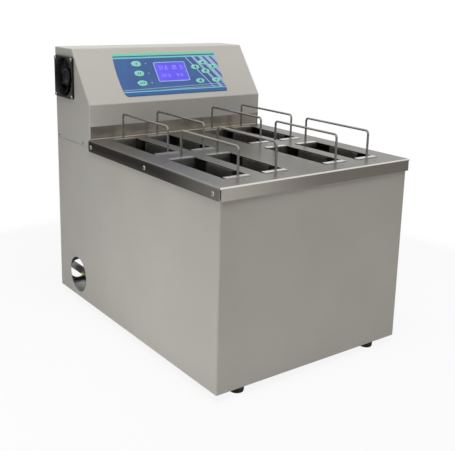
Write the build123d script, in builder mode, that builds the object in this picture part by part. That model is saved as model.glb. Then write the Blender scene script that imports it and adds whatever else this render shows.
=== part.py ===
from build123d import *
import math
import os

# Bench-top plasma thawer: a painted cabinet round a stainless water tank, a stainless deck with eight
# lift-out baskets, and a hood with a sloping keypad behind it. Millimetres. The origin is on the bench,
# under the middle of the whole machine: +X is the right side seen from the front, the front faces -Y.

os.makedirs("parts", exist_ok=True)

# Driving sizes of the painted body. A "rise" is a height above the body's underside, a "back" a distance
# behind the front panel, a "behind" one behind the deck, and a "side" one in from the body's side.
body_width = 400.0
hood_depth = 146.0
panel_sheet = 1.5
panel_bend = 3.0
rear_flange = 14.0
seam_rise = 317.0
foot_height = 14.0
overrun = 5.0

# Small and hidden round pieces are drawn with flat sides, which keeps the whole model light
small_sides = 10
tube_sides = 12
drum_sides = 20
tip_sides = 28
oval_sides = 16
hexagon_sides = 6
bend_chords = 3

# Hand hole in the left side, in front of the drain valve
hand_hole_radius = 36.0
hand_hole_behind = 65.5
hand_hole_rise = 45.4

# Base pan and feet
pan_edge = 8.0
foot_radius = 13.0
foot_tip_radius = 11.5
foot_side = 53.0
foot_inset = 18.0

# Stainless deck with its lip and upstand
deck_sheet = 1.5
deck_rise = 332.0
deck_depth = 419.0
lip_height = 21.0
lip_overhang = 3.5
lip_bend = 3.0
lip_corner_slit = 0.8
upstand_rise = 24.6
upstand_lap = 10.0
upstand_bend = 1.2
upstand_side_gap = 1.1

# Baskets
basket_width = 46.0
basket_depth = 190.0
basket_sheet = 1.2
basket_flange = 10.0
basket_web = 72.0
basket_web_drop = 1.5
basket_drain_length = 30.0
basket_drain_width = 14.0
basket_drain_pitch = 46.0
basket_drain_count = 3
basket_gap = 1.5
slot_relief = 3.6
column_side = 60.0
column_pitch = 75.0
row_front_margin = 45.5
row_gap = 56.0
row_rear_margin = 25.5

# Basket handles, bent from round wire
wire_radius = 2.3
handle_overreach = 6.5
handle_rise = 50.0
handle_bend = 7.0

# Hood
hood_rise = 496.0
slope_foot_rise = 397.0
hood_top_depth = 74.0
knee_bend = 4.0
hood_edge_bevel = 1.1

# Membrane keypad on the slope. A "climb" is a distance up the slope from its lower edge.
overlay_width = 240.0
overlay_height = 95.0
overlay_sheet = 1.2
overlay_corner = 3.0
overlay_low_corner = 10.0
overlay_bulge = 3.6
overlay_shift = 1.0
overlay_climb = 60.5
key_sheet = 1.2
key_float = 0.5
key_gap = 0.3
mode_key_length = 23.0
mode_key_width = 14.0
mode_key_x = -73.5
mode_key_climb = 62.0
mode_key_pitch = 22.0
arrow_key_length = 20.0
arrow_key_width = 11.0
arrow_x = 84.0
arrow_climb = 71.5
arrow_reach_x = 22.0
arrow_reach_climb = 10.5
lower_key_x = 62.5
lower_key_pitch = 40.0
lower_key_climb = 39.0
lens_radius = 1.6
lens_x = -52.0
lens_proud = 0.2

# Display behind the overlay
window_width = 70.5
window_height = 41.0
window_x = 2.0
window_climb = 63.5
window_seat = 1.5
window_gap = 0.1
display_board_width = 93.0
display_board_height = 70.0
display_board_sheet = 1.6
display_frame_width = 80.0
display_frame_height = 52.0
display_frame_depth = 8.0
tail_slot_width = 26.0
tail_slot_height = 3.0
tail_slot_climb = 22.0

# Fan in the hood's left side: a square flange outside, a round duct through the wall
fan_size = 80.0
fan_flange = 4.0
fan_depth = 25.0
fan_corner = 4.0
fan_bore_radius = 37.5
fan_duct_wall = 1.6
fan_duct_gap = 0.4
fan_behind = 103.5
fan_rise = 440.0
fan_screw_pitch = 71.5
fan_strut_width = 5.0
fan_strut_depth = 3.0
fan_strut_count = 4
fan_hub_radius = 17.0
fan_hub_length = 15.0
fan_blade_sink = 3.0
fan_hub_gap = 1.5
fan_blade_gap = 1.0
fan_blade_sheet = 1.6
fan_blade_camber = 3.0
fan_blade_chord = 24.0
fan_blade_root_width = 13.0
fan_blade_tip_width = 19.0
fan_blade_sweep = 2.5
fan_blade_pitch = 30.0
fan_blade_count = 7
fan_shaft_radius = 1.5
fan_shaft_length = 6.0

# Heads of the screws that hold the lip, the hood, the rear panels and the fan
screw_head_radius = 4.0
screw_head_height = 1.6
fan_screw_head_height = 1.0
lip_screw_front_back = 14.0
lip_screw_middle_back = 212.0
lip_screw_rear_inset = 10.0
lip_screw_drop = 12.0
hood_screw_behinds = [28.0, 133.0]
hood_screw_rise = 323.0
rear_screw_inset = 7.0
rear_screw_rises = [30.0, 296.0]
cover_screw_lift = 21.0
cover_screw_drop = 20.0

# Joggled tabs that the hood slips over, and the tray between them
tab_low_rise = 305.0
tab_high_rise = 329.0
tab_front_behind = 11.0
tab_rear_behind = 139.0
tray_rise = 331.0
tray_edge = 22.0
tray_inset = 4.0

# Water tank
tank_side = 14.0
tank_front_back = 26.0
tank_rear_inset = 9.0
tank_bottom_rise = 100.0
tank_wall = 1.2
tank_rim = 6.0
spigot_radius = 7.0
spigot_wall = 1.2
spigot_length = 12.0

# Rails that carry the tank on the base pan
rail_side = 80.0
rail_flange = 20.0
rail_sheet = 2.0
rail_front_back = 60.0
rail_rear_inset = 54.0

# Immersion heater
heater_tube_radius = 4.0
heater_rise = 122.0
heater_terminal_pitch = 24.0
heater_loop_width = 210.0
heater_front_back = 76.0
heater_shoulder_inset = 80.0
heater_neck_inset = 36.0
heater_bend = 16.0
heater_hole_gap = 0.5
heater_flange_width = 56.0
heater_flange_height = 30.0
heater_flange_sheet = 4.0
heater_terminal_radius = 2.5
heater_terminal_length = 8.0

# Temperature probe
probe_rise = 220.0
probe_radius = 3.0
probe_length = 72.0
probe_nut_radius = 8.0
probe_nut_depth = 7.0
probe_plug_radius = 5.0
probe_plug_length = 6.0

# Circulation pump under the tank, its axis along Y
pump_x = 80.0
pump_rise = 46.0
volute_radius = 30.0
volute_front_inset = 160.0
volute_depth = 28.0
volute_wall = 4.0
nozzle_length = 14.0
outlet_offset = 19.0
outlet_rise = 86.0
motor_radius = 28.0
motor_depth = 62.0
motor_cap_radius = 20.0
motor_cap_depth = 5.0
pump_foot_width = 40.0
pump_foot_sheet = 3.0
impeller_radius = 22.0
impeller_disc = 2.0
impeller_vane = 7.0
impeller_vane_sheet = 2.0
impeller_hub_radius = 6.0
impeller_gap = 2.0
impeller_vane_count = 6
impeller_sweep = 28.0
pump_shaft_radius = 3.0
pump_shaft_length = 18.0
shaft_fit = 0.05
hose_wall = 3.0
suction_inset = 234.0
hose_bend = 32.0

# Drain line beside the hand hole
drain_side = 38.0
drain_rise = 27.0
drain_reach = 28.0
drain_radius = 7.5
drain_wall = 2.0
drain_drop_inset = 30.0
drain_bend = 26.0
drain_hole_radius = 20.0
valve_front_behind = 41.0
valve_rear_behind = 89.0
valve_radius = 12.5
valve_end_radius = 10.5
valve_end_length = 11.0
valve_bonnet_radius = 6.5
valve_bonnet_rise = 17.0
lever_stem_radius = 3.0
lever_stem_depth = 6.0
lever_length = 31.0
lever_width = 9.0
lever_sheet = 3.0
lever_hub_radius = 7.0
lever_lift = 0.3

# Boards and supply on the tray
board_width = 150.0
board_depth = 96.0
board_sheet = 1.6
board_x_share = 0.23
board_behind = 71.0
standoff_radius = 3.0
standoff_height = 8.0
standoff_inset = 6.0
relay_width = 16.0
relay_depth = 28.0
relay_height = 20.0
relay_pitch = 24.0
relay_count = 3
terminal_strip_width = 90.0
terminal_strip_depth = 10.0
terminal_strip_height = 12.0
supply_width = 78.0
supply_depth = 100.0
supply_height = 34.0
supply_x_share = 0.35
supply_behind = 65.0
supply_slot_length = 40.0
supply_slot_width = 3.0
supply_slot_pitch = 8.0
supply_slot_count = 8
supply_slot_depth = 2.0
sink_width = 56.0
sink_depth = 80.0
sink_base = 6.0
sink_fin_height = 26.0
sink_fin_sheet = 2.0
sink_fin_count = 9
sink_x_share = 0.125
sink_behind = 65.0
relay_puck_width = 44.0
relay_puck_depth = 58.0
relay_puck_height = 22.0

# Mains inlet with its switch in the rear cover
inlet_side = 50.0
inlet_share = 0.60335
inlet_flange_width = 31.0
inlet_flange_height = 60.0
inlet_flange_sheet = 3.0
inlet_flange_corner = 3.0
inlet_body_width = 27.0
inlet_body_height = 50.0
inlet_body_depth = 27.0
socket_width = 24.0
socket_height = 17.0
socket_corner = 4.0
socket_depth = 18.0
socket_drop = 12.0
pin_width = 2.0
pin_height = 4.0
pin_length = 14.0
pin_pitch = 7.0
pin_drop = 4.0
rocker_well_width = 21.0
rocker_well_height = 13.0
rocker_well_depth = 9.0
rocker_well_lift = 14.0
rocker_gap = 0.4
rocker_tilt = 8.0
rocker_half = 9.0
rocker_depth = 4.5
rocker_pivot_depth = 3.0
rocker_pin_radius = 1.2
rocker_pin_length = 1.0
terminal_width = 6.0
terminal_sheet = 0.8
terminal_length = 9.0
terminal_pitch = 14.0
terminal_rows = 3

# Vent slots in the rear panels
vent_length = 56.0
vent_width = 4.0
vent_pitch = 11.0
panel_vent_count = 6
panel_vent_x = 70.0
panel_vent_rise = 70.0
cover_vent_count = 7
cover_vent_x = -60.0
cover_vent_share = 0.57542

# Places that follow from the sizes above
body_depth = deck_depth + hood_depth
body_bottom = foot_height
front_y = lip_overhang - (lip_overhang + body_depth + drain_reach) / 2
rear_y = front_y + body_depth
inner_width = body_width - 2 * panel_sheet
deck_z = body_bottom + deck_rise
deck_rear_y = front_y + deck_depth
seam_z = body_bottom + seam_rise
hood_top_z = body_bottom + hood_rise
slope_foot_z = body_bottom + slope_foot_rise
knee_y = rear_y - hood_top_depth
hood_rear_y = rear_y - panel_sheet
slope_angle = math.atan2(hood_top_z - slope_foot_z, knee_y - deck_rear_y)
slope_plane = Plane(
    origin=(0, deck_rear_y, slope_foot_z),
    x_dir=(1, 0, 0),
    z_dir=(0, -math.sin(slope_angle), math.cos(slope_angle)),
)
hood_strip_z = deck_z + upstand_rise
fan_duct_radius = fan_bore_radius + fan_duct_wall
outer_column = body_width / 2 - column_side
inner_column = outer_column - column_pitch
column_xs = [-outer_column, -inner_column, inner_column, outer_column]
basket_length = (deck_depth - row_front_margin - row_gap - row_rear_margin) / 2
handle_span = basket_length + 2 * handle_overreach
first_row_y = front_y + row_front_margin + basket_length / 2
row_ys = [first_row_y, deck_rear_y - row_rear_margin - basket_length / 2]
basket_places = [(x, y) for y in row_ys for x in column_xs]
tank_bottom_z = body_bottom + tank_bottom_rise
tank_width = body_width - 2 * tank_side
tank_rear_y = deck_rear_y - tank_rear_inset
tank_depth = tank_rear_y - front_y - tank_front_back
pump_z = body_bottom + pump_rise
drain_x = drain_side - body_width / 2
drain_z = body_bottom + drain_rise
tray_z = body_bottom + tray_rise + panel_sheet
board_x = -body_width * board_x_share
sink_x = body_width * sink_x_share
supply_x = body_width * supply_x_share
inlet_x = body_width / 2 - inlet_side
inlet_z = seam_z + (hood_top_z - seam_z) * inlet_share
lip_screw_z = deck_z - lip_screw_drop
hood_screw_z = body_bottom + hood_screw_rise
lip_screw_ys = [
    front_y + lip_screw_front_back,
    front_y + lip_screw_middle_back,
    deck_rear_y - lip_screw_rear_inset,
]
lip_screw_places = [(y, lip_screw_z) for y in lip_screw_ys]
hood_screw_places = [(deck_rear_y + behind, hood_screw_z) for behind in hood_screw_behinds]
rear_screw_xs = [rear_screw_inset - body_width / 2, body_width / 2 - rear_screw_inset]
rear_screw_places = [(x, body_bottom + rise) for rise in rear_screw_rises for x in rear_screw_xs]
cover_screw_zs = [seam_z + cover_screw_lift, hood_top_z - cover_screw_drop]
cover_screw_places = [(x, z) for z in cover_screw_zs for x in rear_screw_xs]
front_align = (Align.CENTER, Align.MIN)

# Rear plane: its x runs to the left seen from behind, its normal points backwards
rear_plane = Plane(origin=(0, rear_y, 0), x_dir=(-1, 0, 0), z_dir=(0, 1, 0))

# Cabinet shell: front and two sides from one sheet, open above and behind
with BuildPart() as cabinet_shell:
    with BuildSketch(Plane.XY.offset(body_bottom)) as shell_outline:
        with Locations((0, front_y)):
            Rectangle(body_width, body_depth - panel_sheet, align=front_align)
        fillet(shell_outline.vertices().group_by(Axis.Y)[0], radius=panel_bend)
        offset(amount=-panel_sheet, mode=Mode.SUBTRACT)
        with Locations((0, hood_rear_y - panel_sheet / 2)):
            Rectangle(body_width - 2 * rear_flange, 2 * panel_sheet, mode=Mode.SUBTRACT)
    extrude(amount=deck_rise - deck_sheet)
    with BuildSketch(Plane.XY.offset(seam_z)):
        with Locations((0, deck_rear_y)):
            Rectangle(body_width + overrun, body_depth, align=front_align)
    extrude(amount=deck_rise, mode=Mode.SUBTRACT)
    for side in (-1, 1):
        with BuildSketch(Plane.XY.offset(body_bottom + tab_low_rise)):
            with Locations((side * (inner_width - panel_sheet) / 2, deck_rear_y + tab_front_behind)):
                Rectangle(panel_sheet, tab_rear_behind - tab_front_behind, align=front_align)
        extrude(amount=tab_high_rise - tab_low_rise)
    with BuildSketch(Plane.YZ.offset(-body_width / 2 - overrun)):
        with Locations((deck_rear_y + hand_hole_behind, body_bottom + hand_hole_rise)):
            Circle(hand_hole_radius)
    extrude(amount=2 * overrun, mode=Mode.SUBTRACT)
cabinet_shell.part.label = "cabinet_shell"
export_step(cabinet_shell.part, "parts/cabinet_shell.step")

# Base pan: shallow tray between the shell's walls
pan_front_y = front_y + panel_sheet
pan_length = hood_rear_y - panel_sheet - pan_front_y
foot_x = body_width / 2 - foot_side
foot_ys = [front_y + foot_inset, rear_y - foot_inset]
foot_places = [(x, y) for y in foot_ys for x in (-foot_x, foot_x)]
with BuildPart() as base_pan:
    with BuildSketch(Plane.XY.offset(body_bottom)) as pan_outline:
        with Locations((0, pan_front_y)):
            Rectangle(inner_width, pan_length, align=front_align)
        fillet(pan_outline.vertices().group_by(Axis.Y)[0], radius=panel_bend - panel_sheet)
    extrude(amount=pan_edge)
    with BuildSketch(Plane.XY.offset(body_bottom + panel_sheet)):
        with Locations((0, pan_front_y + panel_sheet)):
            Rectangle(inner_width - 2 * panel_sheet, pan_length - 2 * panel_sheet, align=front_align)
    extrude(amount=pan_edge, mode=Mode.SUBTRACT)
base_pan.part.label = "base_pan"
export_step(base_pan.part, "parts/base_pan.step")

# Feet: four tapered rubber feet under the base pan
foot_taper = math.degrees(math.atan2(foot_radius - foot_tip_radius, foot_height))
with BuildPart() as feet:
    with BuildSketch(Plane.XY):
        with Locations(*foot_places):
            RegularPolygon(foot_tip_radius, drum_sides)
    extrude(amount=foot_height, taper=-foot_taper)
feet.part.label = "feet"
export_step(feet.part, "parts/feet.step")

# Rear panel: covers the cabinet's back, with vent slots and a wide hole round the drain pipe
with BuildPart() as rear_panel:
    with BuildSketch(rear_plane):
        with Locations((0, body_bottom)):
            Rectangle(body_width, seam_rise, align=front_align)
        with Locations((-drain_x, drain_z)):
            Circle(drain_hole_radius, mode=Mode.SUBTRACT)
        with Locations((-panel_vent_x, body_bottom + panel_vent_rise)):
            with GridLocations(vent_length, vent_pitch, 1, panel_vent_count):
                Rectangle(vent_length, vent_width, mode=Mode.SUBTRACT)
    extrude(amount=-panel_sheet)
rear_panel.part.label = "rear_panel"
export_step(rear_panel.part, "parts/rear_panel.step")

# Rear cover of the hood: vent slots and the cut-out for the mains inlet
with BuildPart() as housing_rear_cover:
    with BuildSketch(rear_plane) as cover_outline:
        with Locations((0, seam_z)):
            Rectangle(body_width, hood_top_z - seam_z, align=front_align)
        chamfer(cover_outline.vertices().group_by(Axis.Y)[-1], length=hood_edge_bevel)
        with Locations((-inlet_x, inlet_z)):
            Rectangle(inlet_body_width, inlet_body_height, mode=Mode.SUBTRACT)
        with Locations((-cover_vent_x, seam_z + (hood_top_z - seam_z) * cover_vent_share)):
            with GridLocations(vent_length, vent_pitch, 1, cover_vent_count):
                Rectangle(vent_length, vent_width, mode=Mode.SUBTRACT)
    extrude(amount=-panel_sheet)
housing_rear_cover.part.label = "housing_rear_cover"
export_step(housing_rear_cover.part, "parts/housing_rear_cover.step")

# Setbacks of the hood's inner folds: the slope meets the strip and the top at two different angles
fold_setback = panel_sheet * math.tan(slope_angle / 2 - math.pi / 4)
knee_setback = panel_sheet * math.tan(slope_angle / 2)

# Hood: one folded sheet for front strip, slope and top, with welded sides; open below and behind
with BuildPart() as control_housing:
    with BuildSketch(Plane.YZ.offset(-body_width / 2)):
        with BuildLine():
            Polyline(
                (deck_rear_y, seam_z),
                (deck_rear_y, slope_foot_z),
                (knee_y, hood_top_z),
                (hood_rear_y, hood_top_z),
                (hood_rear_y, seam_z),
                close=True,
            )
        make_face()
    extrude(amount=body_width)
    knees = control_housing.edges().filter_by(Axis.X).filter_by_position(
        Axis.Y, deck_rear_y - overrun, knee_y + overrun
    )
    fillet(knees.filter_by_position(Axis.Z, seam_z + overrun, hood_top_z + overrun), radius=knee_bend)
    side_faces = control_housing.faces().filter_by(Axis.X)
    rims = side_faces.edges().filter_by_position(Axis.Y, deck_rear_y - overrun, hood_rear_y - overrun)
    rims = rims.filter_by_position(Axis.Z, seam_z + overrun, hood_top_z + overrun)
    chamfer(rims, length=hood_edge_bevel)
    with BuildSketch(Plane.YZ.offset(-inner_width / 2)):
        with BuildLine():
            Polyline(
                (deck_rear_y + panel_sheet, seam_z - overrun),
                (deck_rear_y + panel_sheet, slope_foot_z - fold_setback),
                (knee_y + knee_setback, hood_top_z - panel_sheet),
                (hood_rear_y + overrun, hood_top_z - panel_sheet),
                (hood_rear_y + overrun, seam_z - overrun),
                close=True,
            )
        make_face()
    extrude(amount=inner_width, mode=Mode.SUBTRACT)
    with BuildSketch(Plane.XY.offset(seam_z - overrun)):
        with Locations((0, deck_rear_y - overrun)):
            Rectangle(inner_width, overrun + 2 * panel_sheet, align=front_align)
    extrude(amount=hood_strip_z - seam_z + overrun, mode=Mode.SUBTRACT)
    with BuildSketch(Plane(origin=(0, hood_rear_y, 0), x_dir=(-1, 0, 0), z_dir=(0, 1, 0))):
        with Locations((0, seam_z)):
            Rectangle(inner_width, hood_top_z - seam_z - panel_sheet, align=front_align)
            Rectangle(
                body_width - 2 * rear_flange,
                hood_top_z - seam_z - rear_flange,
                align=front_align,
                mode=Mode.SUBTRACT,
            )
    extrude(amount=-panel_sheet)
    with BuildSketch(Plane.YZ.offset(-body_width / 2 - overrun)):
        with Locations((deck_rear_y + fan_behind, body_bottom + fan_rise)):
            RegularPolygon(fan_duct_radius + fan_duct_gap, drum_sides)
    extrude(amount=2 * overrun, mode=Mode.SUBTRACT)
    with BuildSketch(slope_plane.offset(overrun)):
        with Locations((window_x, window_climb)):
            Rectangle(window_width - 2 * window_seat, window_height - 2 * window_seat)
        with Locations((0, tail_slot_climb)):
            Rectangle(tail_slot_width, tail_slot_height)
    extrude(amount=-2 * overrun, mode=Mode.SUBTRACT)
control_housing.part.label = "control_housing"
export_step(control_housing.part, "parts/control_housing.step")

# Deck: folded stainless sheet with a lip on three sides, an upstand behind and eight slots
deck_width = body_width + 2 * lip_overhang
deck_front_y = front_y - lip_overhang
slot_width = basket_width + 2 * basket_gap
slot_length = basket_length + 2 * basket_gap
upstand_width = inner_width - 2 * upstand_side_gap
upstand_y = deck_rear_y + panel_sheet
with BuildPart() as deck_plate:
    with BuildSketch(Plane.XY.offset(deck_z - lip_height)):
        with Locations((0, deck_front_y)):
            Rectangle(deck_width, deck_rear_y - deck_front_y, align=front_align)
    extrude(amount=lip_height)
    top_rim = deck_plate.faces().sort_by(Axis.Z)[-1].edges().sort_by(Axis.Y)[:-1]
    fillet(top_rim, radius=lip_bend)
    with BuildSketch(Plane.XY.offset(deck_z - deck_sheet)):
        with Locations((0, deck_front_y + deck_sheet)):
            Rectangle(deck_width - 2 * deck_sheet, deck_depth + overrun, align=front_align)
    extrude(amount=-lip_height, mode=Mode.SUBTRACT)
    with BuildSketch(Plane.YZ.offset(-upstand_width / 2)):
        with BuildLine():
            Polyline(
                (deck_rear_y - panel_sheet, deck_z - deck_sheet),
                (upstand_y + deck_sheet, deck_z - deck_sheet),
                (upstand_y + deck_sheet, hood_strip_z + upstand_lap),
                (upstand_y, hood_strip_z + upstand_lap),
                (upstand_y, deck_z),
                (deck_rear_y - panel_sheet, deck_z),
                close=True,
            )
        make_face()
    extrude(amount=upstand_width)
    folds = deck_plate.edges().filter_by(Axis.X).filter_by_position(
        Axis.Y, upstand_y - deck_sheet / 2, upstand_y + deck_sheet / 2
    )
    fillet(folds.sort_by(Axis.Z)[0], radius=upstand_bend)
    with BuildSketch(Plane.XY.offset(deck_z + overrun)):
        with Locations(*basket_places):
            Rectangle(slot_width, slot_length)
            with GridLocations(slot_width, slot_length, 2, 2):
                Rectangle(slot_relief, slot_relief)
    extrude(amount=-2 * overrun, mode=Mode.SUBTRACT)
    slit_size = 2 * (deck_sheet + lip_corner_slit)
    with BuildSketch(Plane.XY.offset(deck_z - lip_bend)):
        with Locations((-deck_width / 2, deck_front_y), (deck_width / 2, deck_front_y)):
            Rectangle(slit_size, slit_size)
    extrude(amount=-lip_height, mode=Mode.SUBTRACT)
deck_plate.part.label = "deck_plate"
export_step(deck_plate.part, "parts/deck_plate.step")


# Route of a bent wire or tube: each corner is a short row of chords on its bend
def bent_route(corners, bend):
    corners = [Vector(*corner) for corner in corners]
    points = [corners[0]]
    for before, corner, after in zip(corners, corners[1:], corners[2:]):
        inward = (corner - before).normalized()
        outward = (after - corner).normalized()
        turn = math.radians(inward.get_angle(outward))
        across = (outward - inward * inward.dot(outward)).normalized()
        start = corner - inward * (bend * math.tan(turn / 2))
        for chord in range(bend_chords + 1):
            angle = turn * chord / bend_chords
            along = inward * (bend * math.sin(angle))
            points.append(start + along + across * (bend * (1 - math.cos(angle))))
    return points + [corners[-1]]


# Basket: a cross-shaped blank folded up. Its end walls turn out into flanges that lie on the deck, and
# its two middle webs hold the bag between wide side windows.
def make_basket(x, y):
    half = basket_length / 2
    low = deck_z - basket_depth
    flange_end = half + basket_flange
    top = deck_z + basket_sheet
    with BuildPart() as basket:
        side_plane = Plane(origin=(x - basket_width / 2, y, 0), x_dir=(0, 1, 0), z_dir=(1, 0, 0))
        with BuildSketch(side_plane):
            with BuildLine():
                Polyline(
                    (-flange_end, top),
                    (basket_sheet - half, top),
                    (basket_sheet - half, low + basket_sheet),
                    (half - basket_sheet, low + basket_sheet),
                    (half - basket_sheet, top),
                    (flange_end, top),
                    (flange_end, deck_z),
                    (half, deck_z),
                    (half, low),
                    (-half, low),
                    (-half, deck_z),
                    (-flange_end, deck_z),
                    close=True,
                )
            make_face()
        extrude(amount=basket_width)
        for side in (-1, 1):
            with BuildSketch(Plane.XY.offset(low)):
                with Locations((x + side * (basket_width - basket_sheet) / 2, y)):
                    Rectangle(basket_sheet, basket_web)
            extrude(amount=basket_depth - basket_web_drop)
        with BuildSketch(Plane.XY.offset(low - overrun)):
            with Locations((x, y)):
                with GridLocations(basket_width, basket_drain_pitch, 1, basket_drain_count):
                    Rectangle(basket_drain_length, basket_drain_width)
        extrude(amount=2 * overrun, mode=Mode.SUBTRACT)
    return basket


# Handle: round wire, up from one flange, along and down to the other
def make_handle(x, y):
    reach = handle_span / 2
    foot = deck_z + basket_sheet
    crown = deck_z + handle_rise - wire_radius
    with BuildPart() as handle:
        with BuildLine():
            corners = [
                (x, y - reach, foot),
                (x, y - reach, crown),
                (x, y + reach, crown),
                (x, y + reach, foot),
            ]
            route = Polyline(*bent_route(corners, handle_bend))
        with BuildSketch(Plane(origin=corners[0], z_dir=(0, 0, 1))):
            RegularPolygon(wire_radius, small_sides)
        sweep(path=route, transition=Transition.RIGHT)
    return handle


for number, (basket_x, basket_y) in enumerate(basket_places, start=1):
    basket = make_basket(basket_x, basket_y)
    basket.part.label = f"basket_{number}"
    export_step(basket.part, f"parts/basket_{number}.step")
    handle = make_handle(basket_x, basket_y)
    handle.part.label = f"basket_handle_{number}"
    export_step(handle.part, f"parts/basket_handle_{number}.step")

# Places of the nine keys on the slope: three mode keys, four arrows, two lower keys
mode_keys = {
    f"mode_key_{number}": (mode_key_x, mode_key_climb + (2 - number) * mode_key_pitch)
    for number in (1, 2, 3)
}
arrow_keys = {
    "up_key": (arrow_x, arrow_climb + arrow_reach_climb),
    "down_key": (arrow_x, arrow_climb - arrow_reach_climb),
    "left_key": (arrow_x - arrow_reach_x, arrow_climb),
    "right_key": (arrow_x + arrow_reach_x, arrow_climb),
    "back_key": (lower_key_x, lower_key_climb),
    "enter_key": (lower_key_x + lower_key_pitch, lower_key_climb),
}
lens_places = [(lens_x, climb) for _, climb in mode_keys.values()]


# Outline of an oval key or of its opening
def oval_points(length, width):
    angles = [2 * math.pi * side / oval_sides for side in range(oval_sides)]
    return [(length / 2 * math.cos(angle), width / 2 * math.sin(angle)) for angle in angles]


# Keypad overlay: its left edge bulges, its lower left corner is wider
overlay_left = overlay_shift - overlay_width / 2
overlay_right = overlay_shift + overlay_width / 2
overlay_low = overlay_climb - overlay_height / 2
overlay_high = overlay_climb + overlay_height / 2
with BuildPart() as keypad_overlay:
    with BuildSketch(slope_plane) as overlay_outline:
        with BuildLine():
            Polyline(
                (overlay_left, overlay_low),
                (overlay_right, overlay_low),
                (overlay_right, overlay_high),
                (overlay_left, overlay_high),
            )
            ThreePointArc(
                (overlay_left, overlay_high),
                (overlay_left - overlay_bulge, overlay_climb),
                (overlay_left, overlay_low),
            )
        make_face()
        right_corners = overlay_outline.vertices().group_by(Axis.X)[-1]
        fillet(right_corners, radius=overlay_corner)
        low_left = overlay_outline.vertices().sort_by_distance((overlay_left, overlay_low))[0]
        fillet(low_left, radius=overlay_low_corner)
        high_left = overlay_outline.vertices().sort_by_distance((overlay_left, overlay_high))[0]
        fillet(high_left, radius=overlay_corner)
        with Locations((window_x, window_climb)):
            Rectangle(window_width, window_height, mode=Mode.SUBTRACT)
        mode_opening = oval_points(mode_key_length + 2 * key_gap, mode_key_width + 2 * key_gap)
        arrow_opening = oval_points(arrow_key_length + 2 * key_gap, arrow_key_width + 2 * key_gap)
        with Locations(*mode_keys.values()):
            Polygon(*mode_opening, align=None, mode=Mode.SUBTRACT)
        with Locations(*arrow_keys.values()):
            Polygon(*arrow_opening, align=None, mode=Mode.SUBTRACT)
        with Locations(*lens_places):
            RegularPolygon(lens_radius, small_sides, mode=Mode.SUBTRACT)
    extrude(amount=overlay_sheet)
keypad_overlay.part.label = "keypad_overlay"
export_step(keypad_overlay.part, "parts/keypad_overlay.step")


# Key: a low oval button that floats above the hood in its opening of the overlay
def make_key(place, length, width):
    with BuildPart() as key:
        with BuildSketch(slope_plane.offset(key_float)):
            with Locations(place):
                Polygon(*oval_points(length, width), align=None)
        extrude(amount=key_sheet)
    return key


for name, place in mode_keys.items():
    key = make_key(place, mode_key_length, mode_key_width)
    key.part.label = name
    export_step(key.part, f"parts/{name}.step")
for name, place in arrow_keys.items():
    key = make_key(place, arrow_key_length, arrow_key_width)
    key.part.label = name
    export_step(key.part, f"parts/{name}.step")

# Status lenses beside the mode keys
with BuildPart() as status_lenses:
    with BuildSketch(slope_plane):
        with Locations(*lens_places):
            RegularPolygon(lens_radius, small_sides)
    extrude(amount=overlay_sheet + lens_proud)
status_lenses.part.label = "status_lenses"
export_step(status_lenses.part, "parts/status_lenses.step")

# Clear pane in the overlay, seated on the rim of the hood's cut-out
with BuildPart() as display_window:
    with BuildSketch(slope_plane):
        with Locations((window_x, window_climb)):
            Rectangle(window_width - 2 * window_gap, window_height - 2 * window_gap)
    extrude(amount=overlay_sheet)
display_window.part.label = "display_window"
export_step(display_window.part, "parts/display_window.step")

# Display module: metal frame against the inside of the slope, board behind it
with BuildPart() as display_module:
    with BuildSketch(slope_plane.offset(-panel_sheet)):
        with Locations((window_x, window_climb)):
            Rectangle(display_frame_width, display_frame_height)
    extrude(amount=-display_frame_depth)
    with BuildSketch(slope_plane.offset(-panel_sheet - display_frame_depth)):
        with Locations((window_x, window_climb)):
            Rectangle(display_board_width, display_board_height)
    extrude(amount=-display_board_sheet)
display_module.part.label = "display_module"
export_step(display_module.part, "parts/display_module.step")

# Fan: the frame's plane looks out of the hood's left side, x backwards and y upwards
fan_plane = Plane(
    origin=(-body_width / 2, deck_rear_y + fan_behind, body_bottom + fan_rise),
    x_dir=(0, -1, 0),
    z_dir=(-1, 0, 0),
)
fan_duct_depth = fan_depth - fan_flange
fan_strut_plane = fan_plane.offset(-fan_duct_depth)
with BuildPart() as fan_frame:
    with BuildSketch(fan_plane):
        RectangleRounded(fan_size, fan_size, fan_corner)
    extrude(amount=fan_flange)
    with BuildSketch(fan_plane):
        RegularPolygon(fan_duct_radius, drum_sides)
    extrude(amount=-fan_duct_depth)
    with BuildSketch(fan_plane.offset(fan_flange + overrun)):
        Circle(fan_bore_radius)
    extrude(amount=-(fan_depth + 2 * overrun), mode=Mode.SUBTRACT)
    with BuildSketch(fan_strut_plane):
        RegularPolygon(fan_hub_radius, drum_sides)
        with PolarLocations((fan_hub_radius + fan_bore_radius) / 2, fan_strut_count):
            Rectangle(fan_duct_radius - fan_hub_radius, fan_strut_width)
    extrude(amount=fan_strut_depth)
    with BuildSketch(fan_strut_plane.offset(-overrun)):
        RegularPolygon(fan_shaft_radius + shaft_fit, small_sides, major_radius=False)
    extrude(amount=fan_strut_depth + 2 * overrun, mode=Mode.SUBTRACT)
fan_frame.part.label = "fan_frame"
export_step(fan_frame.part, "parts/fan_frame.step")

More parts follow.
